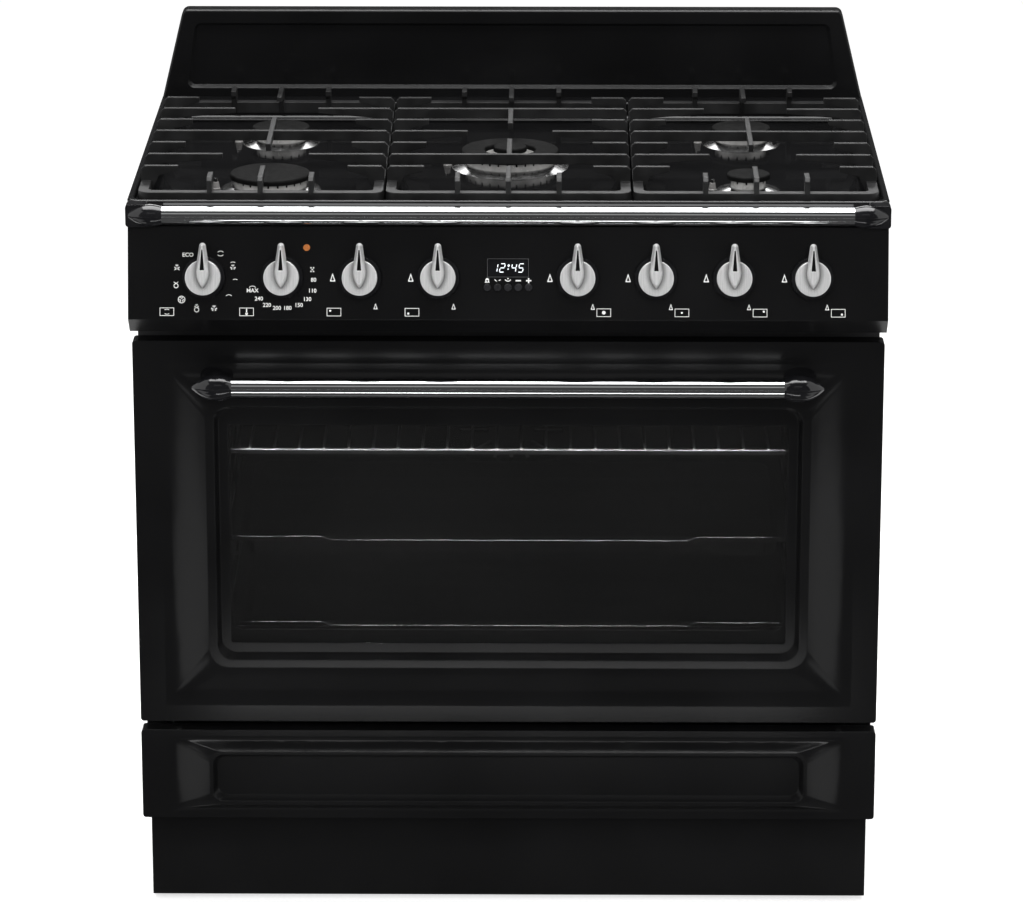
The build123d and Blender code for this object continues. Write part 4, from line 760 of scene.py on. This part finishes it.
class COOKER_OT_timer_face(bpy.types.Operator):
    """Print the timer's button signs and light its digits"""

    bl_idname = "cooker.timer_face"
    bl_label = "Timer face"

    def execute(self, context):
        ink = sizes().ink
        line = sizes().stroke / MM
        up = BUTTON_RISE / MM + SIGN_LIFT
        step = BUTTON_PITCH / MM
        bell = ((-2.2, -1.6), (2.2, -1.6), (1.5, -0.8), (1.4, 1.0),
                (0.6, 2.0), (-0.6, 2.0), (-1.4, 1.0), (-1.5, -0.8))
        loops = [[(u - 2 * step, v + up) for u, v in bell], disc(-2 * step, up - 0.2, 0.7, 10)]
        loops += [arch(-step, up + 2.2, 2.6, line, 210, 330), arch(-step, up - 2.4, 2.0, line, 55, 125)]
        loops += [arch(0, up + 2.2, 2.6, line, 210, 330), disc(0, up + 1.6, 0.6, 10)]
        loops.append(rectangle(step, up, 4.2, 1.1))
        loops.append([(u + 2 * step, v + up) for u, v in (
            (-2.1, -0.55), (-0.55, -0.55), (-0.55, -2.1), (0.55, -2.1), (0.55, -0.55), (2.1, -0.55),
            (2.1, 0.55), (0.55, 0.55), (0.55, 2.1), (-0.55, 2.1), (-0.55, 0.55), (-2.1, 0.55))])
        loops = [self.grown(loop, up, step) for loop in loops]
        signs = settle(drawing(loops, "timer_signs", ink), fascia_place(0, 0))
        dress(signs, bpy.data.materials["printed_white"], "cabinet")
        border = frame_sign(0, DISPLAY_RISE / MM, *DISPLAY_SIZE, DISPLAY_LINE)
        edge = drawing(border, "display_edge", ink)
        settle(edge, fascia_place(0, 0))
        dress(edge, moulded("display_line", (0.06, 0.06, 0.062), 0.3, 0.45), "cabinet")
        lit = self.segments("12", FIRST_PAIR_X) + self.segments("45", SECOND_PAIR_X) + self.colon()
        digits = drawing(lit, "clock_digits", ink)
        lean = Matrix(((1, DIGIT_LEAN, 0, 0), (0, 1, 0, 0), (0, 0, 1, 0), (0, 0, 0, 1)))
        digits.data.transform(lean)
        settle(digits, fascia_place(0, DISPLAY_RISE, LENS_PROUD))
        dress(digits, glowing_digits(), "cabinet")
        return {"FINISHED"}

    def grown(self, loop, up, step):
        """The outline half as large again about its own button's middle."""
        middle = step * round(sum(u for u, _ in loop) / len(loop) / step)
        return [(middle + SIGN_GROWTH * (u - middle), up + SIGN_GROWTH * (v - up)) for u, v in loop]

    def colon(self):
        """The pointed mark and the dot between the hours and the minutes."""
        return [[(0.4, 4.6), (1.9, 2.7), (0.4, 0.8), (-1.1, 2.7)], disc(0.4, -1.4, 0.8, 8)]

    def segments(self, number, start):
        """Seven-segment outlines of number, its first digit at start."""
        lit = {"1": "bc", "2": "abged", "4": "fgbc", "5": "afgcd"}
        wide, tall, bar = DIGIT_WIDE, sizes().digit / MM, DIGIT_BAR
        side, post = wide / 2, tall / 2 - bar
        places = {
            "a": (0, tall / 2, wide, bar), "g": (0, 0, wide, bar), "d": (0, -tall / 2, wide, bar),
            "b": (side, tall / 4, bar, post), "c": (side, -tall / 4, bar, post),
            "f": (-side, tall / 4, bar, post), "e": (-side, -tall / 4, bar, post),
        }
        loops = []
        for index, figure in enumerate(number):
            for name in lit[figure]:
                u, v, width, height = places[name]
                middle = start + index * DIGIT_PITCH + u
                loops.append(rectangle(middle, v, width * DIGIT_GAP, height * DIGIT_GAP))
        return loops


def turned(profile, name, steps=40):
    """Turned piece: rings of radius and height in millimetres, each drawn out of the last about Z."""
    bpy.ops.object.select_all(action="DESELECT")
    radius, height = profile[0]
    bpy.ops.mesh.primitive_circle_add(vertices=steps, radius=radius * MM, location=(0, 0, height * MM))
    obj = bpy.context.view_layer.objects.active
    obj.name = obj.data.name = name
    settle(obj)
    bpy.ops.object.mode_set(mode="EDIT")
    bpy.ops.mesh.select_all(action="SELECT")
    for wide, high in profile[1:]:
        bpy.ops.mesh.extrude_region_move(TRANSFORM_OT_translate={"value": (0, 0, (high - height) * MM)})
        bpy.ops.transform.resize(value=(wide / radius, wide / radius, 1), center_override=(0, 0, 0))
        radius, height = wide, high
    bpy.ops.mesh.select_all(action="SELECT")
    bpy.ops.mesh.remove_doubles(threshold=1e-6)
    bpy.ops.mesh.fill_holes(sides=0)
    bpy.ops.object.mode_set(mode="OBJECT")
    return outward(obj)


def outward(obj):
    """Turns all faces outwards and smooths all but the sharp edges."""
    only(obj)
    bpy.ops.object.mode_set(mode="EDIT")
    bpy.ops.mesh.select_all(action="SELECT")
    bpy.ops.mesh.normals_make_consistent(inside=False)
    bpy.ops.object.mode_set(mode="OBJECT")
    bpy.ops.object.shade_smooth_by_angle(angle=math.radians(35))
    return obj


def soften(obj, width, segments=2):
    """Rounds the edges of obj."""
    only(obj)
    bevel = obj.modifiers.new("bevel", "BEVEL")
    bevel.width = width
    bevel.segments = segments
    bevel.limit_method = "ANGLE"
    bpy.ops.object.modifier_apply(modifier=bevel.name)
    return outward(obj)


def copies(obj, places, name):
    """One object made of obj's mesh at every given place."""
    parts = []
    for place in places:
        twin = obj.copy()
        twin.data = obj.data.copy()
        bpy.context.collection.objects.link(twin)
        parts.append(settle(twin, place))
    bpy.data.objects.remove(obj)
    return join(parts, name)


def facing(x, y, z, turn=0.0):
    """Matrix that stands a piece made along Z on an upright face, looking back."""
    lay = Matrix.Rotation(-math.pi / 2, 4, "X")
    return Matrix.Translation((x, y, z)) @ lay @ Matrix.Rotation(turn, 4, "Z")


class COOKER_OT_lever_inlays(bpy.types.Operator):
    """Fill the levers' grooves with their dark inlays"""

    bl_idname = "cooker.lever_inlays"
    bl_label = "Lever inlays"

    def execute(self, context):
        lacquer = moulded("inlay_lacquer", (0.004, 0.004, 0.0042), 0.12, 0.22, 0.000004)
        gap = sizes().inlay_gap / MM
        (high, narrow), (low, wide) = GROOVE_OUTLINE
        outline = [(-narrow + gap, high - gap), (-wide + gap, low + gap),
                   (wide - gap, low + gap), (narrow - gap, high - gap)]
        for name, x in KNOBS.items():
            inlay = drawing([outline], f"lever_inlay_{name}", GROOVE_DEPTH - sizes().inlay_sink)
            soften(inlay, sizes().inlay_sink / 3)
            settle(inlay, fascia_place(x, KNOB_RISE, GROOVE_FLOOR))
            dress(inlay, lacquer, f"grip_{name}")
        return {"FINISHED"}


class COOKER_OT_spark_sleeves(bpy.types.Operator):
    """Set the ceramic sleeves round the spark pins"""

    bl_idname = "cooker.spark_sleeves"
    bl_label = "Spark sleeves"

    def execute(self, context):
        bore = PIN_RADIUS / MM + 0.1
        profile = [(bore, 0), (5.2, 0), (5.2, 1.2), (4.4, 1.9), (4.1, 5.4), (3.6, 6.2),
                   (3.5, 8.6), (3.0, 9.2), (bore, 9.2), (bore, 0)]
        sleeve = turned(profile, "sleeve", 28)
        places = [Matrix.Translation((x, y, TRAY_Z)) for x, y in SPARK_PINS]
        sleeves = copies(sleeve, places, "spark_sleeves")
        ceramic = moulded("glazed_ceramic", (0.17, 0.165, 0.16), 0.22, 0.34, 0.00001)
        dress(sleeves, ceramic, "cabinet")
        return {"FINISHED"}


class COOKER_OT_screws(bpy.types.Operator):
    """Drive the cross-head screws of the back panel and of the door's inner face"""

    bl_idname = "cooker.screws"
    bl_label = "Screws"

    def execute(self, context):
        steel = plain_metal("screw_zinc", (0.62, 0.62, 0.60), 0.24, 0.4, 300.0)
        back = [facing(side * BACK_SIDE_X, REAR_FACE_Y, z, 0.5 + 0.9 * k)
                for side in (-1, 1) for k, z in enumerate(BACK_SIDE_Z)]
        back += [facing(x, REAR_FACE_Y, z, 0.3 + 7 * x) for x in BACK_ROW_X for z in BACK_ROW_Z]
        dress(copies(self.head(), back, "back_screws"), steel, "cabinet")
        door = [facing(side * LINER_SIDE_X, LINER_FACE_Y, z, 0.4 + 2.1 * k)
                for side in (-1, 1) for k, z in enumerate(LINER_SIDE_Z)]
        dress(copies(self.head(), door, "liner_screws"), steel, "oven_door")
        return {"FINISHED"}

    def head(self):
        """Domed head with a cross cut into it."""
        radius = sizes().screw / MM
        tall = 0.5 * radius
        skirt = 0.16 * radius
        dome = [(radius, 0), (radius, skirt)]
        dome += [(radius * math.cos(a), skirt + (tall - skirt) * math.sin(a)) for a in (0.4, 0.8, 1.2, 1.45)]
        head = turned(dome, "screw_head", 28)
        arm, bar = 0.55 * radius, 0.13 * radius
        outline = [(-bar, -arm), (bar, -arm), (bar, -bar), (arm, -bar), (arm, bar), (bar, bar),
                   (bar, arm), (-bar, arm), (-bar, bar), (-arm, bar), (-arm, -bar), (-bar, -bar)]
        cross = drawing([outline], "cross", tall * MM)
        settle(cross, Matrix.Translation((0, 0, 0.35 * tall * MM)))
        only(head)
        cut = head.modifiers.new("cut", "BOOLEAN")
        cut.object = cross
        cut.operation = "DIFFERENCE"
        bpy.ops.object.modifier_apply(modifier=cut.name)
        bpy.data.objects.remove(cross)
        return outward(head)


class COOKER_OT_services(bpy.types.Operator):
    """Fit the cable gland's blank and the gas inlet's nut to the back"""

    bl_idname = "cooker.services"
    bl_label = "Services"

    def execute(self, context):
        gland = turned([(17, 0), (17, 2.6), (15.4, 3.4), (12.6, 3.6), (12.0, 8.4), (11.0, 9.4), (4.0, 9.8),
                       (3.4, 9.0)], "cable_gland")
        settle(gland, facing(CABLE_X, REAR_FACE_Y, SERVICE_Z))
        dress(gland, moulded("gland_nylon", (0.03, 0.03, 0.031), 0.4, 0.55), "cabinet")
        bore = INLET_RADIUS / MM + 0.1
        nut = turned([(bore, 0), (18.6, 0), (18.6, 8.0), (16.2, 9.6), (bore, 9.6), (bore, 0)], "inlet_nut", 6)
        soften(nut, 0.0004)
        settle(nut, facing(INLET_X, REAR_FACE_Y, SERVICE_Z, 0.26))
        dress(nut, bpy.data.materials["tap_brass"], "cabinet")
        return {"FINISHED"}


# The studio: how wide the glow inside the oven spreads, and the floor with its own light
GLOW_SPREAD = math.radians(46)
FLOOR_SIZE = 60.0
FLOOR_Z = -0.0005
FLOOR_LIFT = 0.6
# Lamps, by the name of their power: where each one hangs, what it faces, and its size
LAMPS = {
    "softbox": ("overhead_softbox", (0, 0.1, 2.7), (0, 0.05, 0.8), (2.4, 1.5)),
    "fill": ("front_fill", (0, -4.0, 2.6), (0, -0.2, 0.6), (2.5, 2.5)),
    "rim": ("rear_rim", (0, 1.7, 2.1), (0, 0.0, 0.9), (2.2, 0.5)),
    "oven_glow": ("oven_glow", (0, -0.192, 0.655), (0, -0.165, 0.33), (0.66, 0.02)),
}
# Cards that only reflections see: how bright each shade looks, then each card's shade, place, turn and size
CARD_SHADES = {"flag_black": 0.06, "strip_low": 0.14, "strip_dim": 0.35, "strip_white": 0.8,
               "strip_bright": 2.2, "strip_lip": 5.6}
FLAT = (0, 0, 0)
UPRIGHT = (math.pi / 2, 0, 0)
CARDS = (
    ("strip_near_floor", "strip_low", (0, -0.315, 0.004), FLAT, (2.6, 0.17)),
    ("strip_door_lip", "strip_lip", (0, -1.068, 0.006), FLAT, (0.84, 0.12)),
    ("strip_left", "strip_white", (-1.6, -1.05, 0.006), FLAT, (1.2, 0.9)),
    ("strip_right", "strip_white", (1.6, -1.05, 0.006), FLAT, (1.2, 0.9)),
    ("strip_left_low", "strip_white", (-0.81, -0.58, 0.006), FLAT, (0.38, 0.34)),
    ("strip_right_low", "strip_white", (0.81, -0.58, 0.006), FLAT, (0.38, 0.34)),
    ("strip_front", "strip_dim", (0, -8.9, 7.2), UPRIGHT, (5.0, 3.0)),
    ("flag_floor", "flag_black", (0, -4.4, 0.004), FLAT, (9.0, 8.0)),
    ("flag_front", "flag_black", (0, -9.0, 7.0), UPRIGHT, (16.0, 14.0)),
    ("flag_high", "flag_black", (0, -5.9, 14.0), FLAT, (16.0, 6.2)),
    ("strip_high", "strip_bright", (0, -1.41, 5.0), FLAT, (3.0, 0.78)),
    ("flag_rear", "flag_black", (0, 2.2, 2.1), UPRIGHT, (9.0, 3.6)),
)


class COOKER_OT_studio(bpy.types.Operator):
    """Set the floor, the lamps and the camera"""

    bl_idname = "cooker.studio"
    bl_label = "Studio"

    def execute(self, context):
        self.world()
        self.floor()
        self.flags()
        lamps = {key: self.softbox(*lamp, getattr(studio(), key)) for key, lamp in LAMPS.items()}
        lamps["fill"].visible_glossy = False
        lamps["oven_glow"].data.spread = GLOW_SPREAD
        self.camera()
        context.scene.view_settings.view_transform = "Standard"
        return {"FINISHED"}

    def seen(self, tree):
        """1 for rays from the camera, from gloss and through glass; 0 for the rest."""
        path = tree.nodes.new("ShaderNodeLightPath")
        first = tree.nodes.new("ShaderNodeMath")
        first.operation = "MAXIMUM"
        second = tree.nodes.new("ShaderNodeMath")
        second.operation = "MAXIMUM"
        tree.links.new(path.outputs["Is Camera Ray"], first.inputs[0])
        tree.links.new(path.outputs["Is Glossy Ray"], first.inputs[1])
        tree.links.new(first.outputs["Value"], second.inputs[0])
        tree.links.new(path.outputs["Is Transmission Ray"], second.inputs[1])
        return second.outputs["Value"]

    def world(self):
        world = bpy.data.worlds.new("white_room")
        bpy.context.scene.world = world
        world.use_nodes = True
        tree = world.node_tree
        shown = tree.nodes["Background"]
        shown.inputs["Color"].default_value = (1, 1, 1, 1)
        shown.inputs["Strength"].default_value = 1.0
        light = tree.nodes.new("ShaderNodeBackground")
        light.inputs["Strength"].default_value = studio().ambient
        mix = tree.nodes.new("ShaderNodeMixShader")
        tree.links.new(self.seen(tree), mix.inputs["Fac"])
        tree.links.new(light.outputs["Background"], mix.inputs[1])
        tree.links.new(shown.outputs["Background"], mix.inputs[2])
        tree.links.new(mix.outputs["Shader"], tree.nodes["World Output"].inputs["Surface"])

    def floor(self):
        bpy.ops.object.select_all(action="DESELECT")
        bpy.ops.mesh.primitive_plane_add(size=FLOOR_SIZE, location=(0, 0, FLOOR_Z))
        floor = settle(bpy.context.view_layer.objects.active)
        floor.name = "floor"
        material = bpy.data.materials.new("pale_floor")
        material.use_nodes = True
        tree = material.node_tree
        shader = tree.nodes["Principled BSDF"]
        shader.inputs["Base Color"].default_value = (0.85, 0.85, 0.85, 1)
        shader.inputs["Roughness"].default_value = 0.9
        shader.inputs["Specular IOR Level"].default_value = 0.0
        glow = tree.nodes.new("ShaderNodeEmission")
        lift = tree.nodes.new("ShaderNodeMath")
        lift.operation = "MULTIPLY"
        lift.inputs[1].default_value = FLOOR_LIFT
        tree.links.new(self.seen(tree), lift.inputs[0])
        tree.links.new(lift.outputs["Value"], glow.inputs["Strength"])
        both = tree.nodes.new("ShaderNodeAddShader")
        tree.links.new(shader.outputs["BSDF"], both.inputs[0])
        tree.links.new(glow.outputs["Emission"], both.inputs[1])
        tree.links.new(both.outputs["Shader"], tree.nodes["Material Output"].inputs["Surface"])
        floor.data.materials.append(material)

    def flags(self):
        """Black flags and lit strips that only reflections see, as photographers set round gloss black."""
        shades = {name: self.card_shade(name, strength) for name, strength in CARD_SHADES.items()}
        for name, shade, place, turn, (width, depth) in CARDS:
            bpy.ops.object.select_all(action="DESELECT")
            bpy.ops.mesh.primitive_plane_add(size=1.0, location=place, rotation=turn)
            card = bpy.context.view_layer.objects.active
            card.scale = (width, depth, 1)
            settle(card)
            card.name = name
            card.visible_camera = False
            card.visible_diffuse = False
            card.visible_transmission = False
            card.visible_shadow = False
            card.data.materials.append(shades[shade])

    def card_shade(self, name, strength):
        """Even glow of a card, whatever light falls on it."""
        material = finish(name, (0.0, 0.0, 0.0), 1.0, Specular_IOR_Level=0.0, Emission_Strength=strength)
        material.node_tree.nodes["Principled BSDF"].inputs["Emission Color"].default_value = (1, 1, 1, 1)
        return material

    def softbox(self, name, place, target, size, power):
        """Rectangular lamp at place, facing target."""
        lamp = bpy.data.lights.new(name, "AREA")
        lamp.shape = "RECTANGLE"
        lamp.size, lamp.size_y = size
        lamp.energy = power
        obj = bpy.data.objects.new(name, lamp)
        bpy.context.collection.objects.link(obj)
        obj.location = place
        obj.rotation_euler = (Vector(target) - Vector(place)).to_track_quat("-Z", "Y").to_euler()
        return obj

    def camera(self):
        view = bpy.data.cameras.new("photo_camera")
        view.sensor_width = 36.0
        view.lens = studio().lens
        view.clip_end = 100.0
        obj = bpy.data.objects.new("photo_camera", view)
        bpy.context.collection.objects.link(obj)
        obj.location = studio().eye
        obj.rotation_euler = (math.pi / 2 - studio().pitch, 0, studio().yaw)
        bpy.context.scene.camera = obj


class COOKER_PT_panel(bpy.types.Panel):
    """Lists the cooker's steps"""

    bl_label = "Cooker"
    bl_idname = "COOKER_PT_panel"
    bl_space_type = "VIEW_3D"
    bl_region_type = "UI"
    bl_category = "Cooker"

    def draw(self, context):
        for step in STEPS:
            self.layout.operator(step.bl_idname)


GROUPS = (CookerSizes, CookerColours, CookerStudio)
STEPS = (COOKER_OT_finishes, COOKER_OT_burner_signs, COOKER_OT_oven_signs, COOKER_OT_timer_face,
         COOKER_OT_lever_inlays, COOKER_OT_spark_sleeves, COOKER_OT_screws, COOKER_OT_services,
         COOKER_OT_studio)


def register():
    for kind in (*GROUPS, *STEPS, COOKER_PT_panel):
        bpy.utils.register_class(kind)
    bpy.types.Scene.cooker_sizes = bpy.props.PointerProperty(type=CookerSizes)
    bpy.types.Scene.cooker_colours = bpy.props.PointerProperty(type=CookerColours)
    bpy.types.Scene.cooker_studio = bpy.props.PointerProperty(type=CookerStudio)


def unregister():
    del bpy.types.Scene.cooker_studio
    del bpy.types.Scene.cooker_colours
    del bpy.types.Scene.cooker_sizes
    for kind in (COOKER_PT_panel, *reversed(STEPS), *reversed(GROUPS)):
        bpy.utils.unregister_class(kind)


def main():
    register()
    bpy.ops.cooker.finishes()
    bpy.ops.cooker.burner_signs()
    bpy.ops.cooker.oven_signs()
    bpy.ops.cooker.timer_face()
    bpy.ops.cooker.lever_inlays()
    bpy.ops.cooker.spark_sleeves()
    bpy.ops.cooker.screws()
    bpy.ops.cooker.services()
    bpy.ops.cooker.studio()


if __name__ == "__main__":
    main()
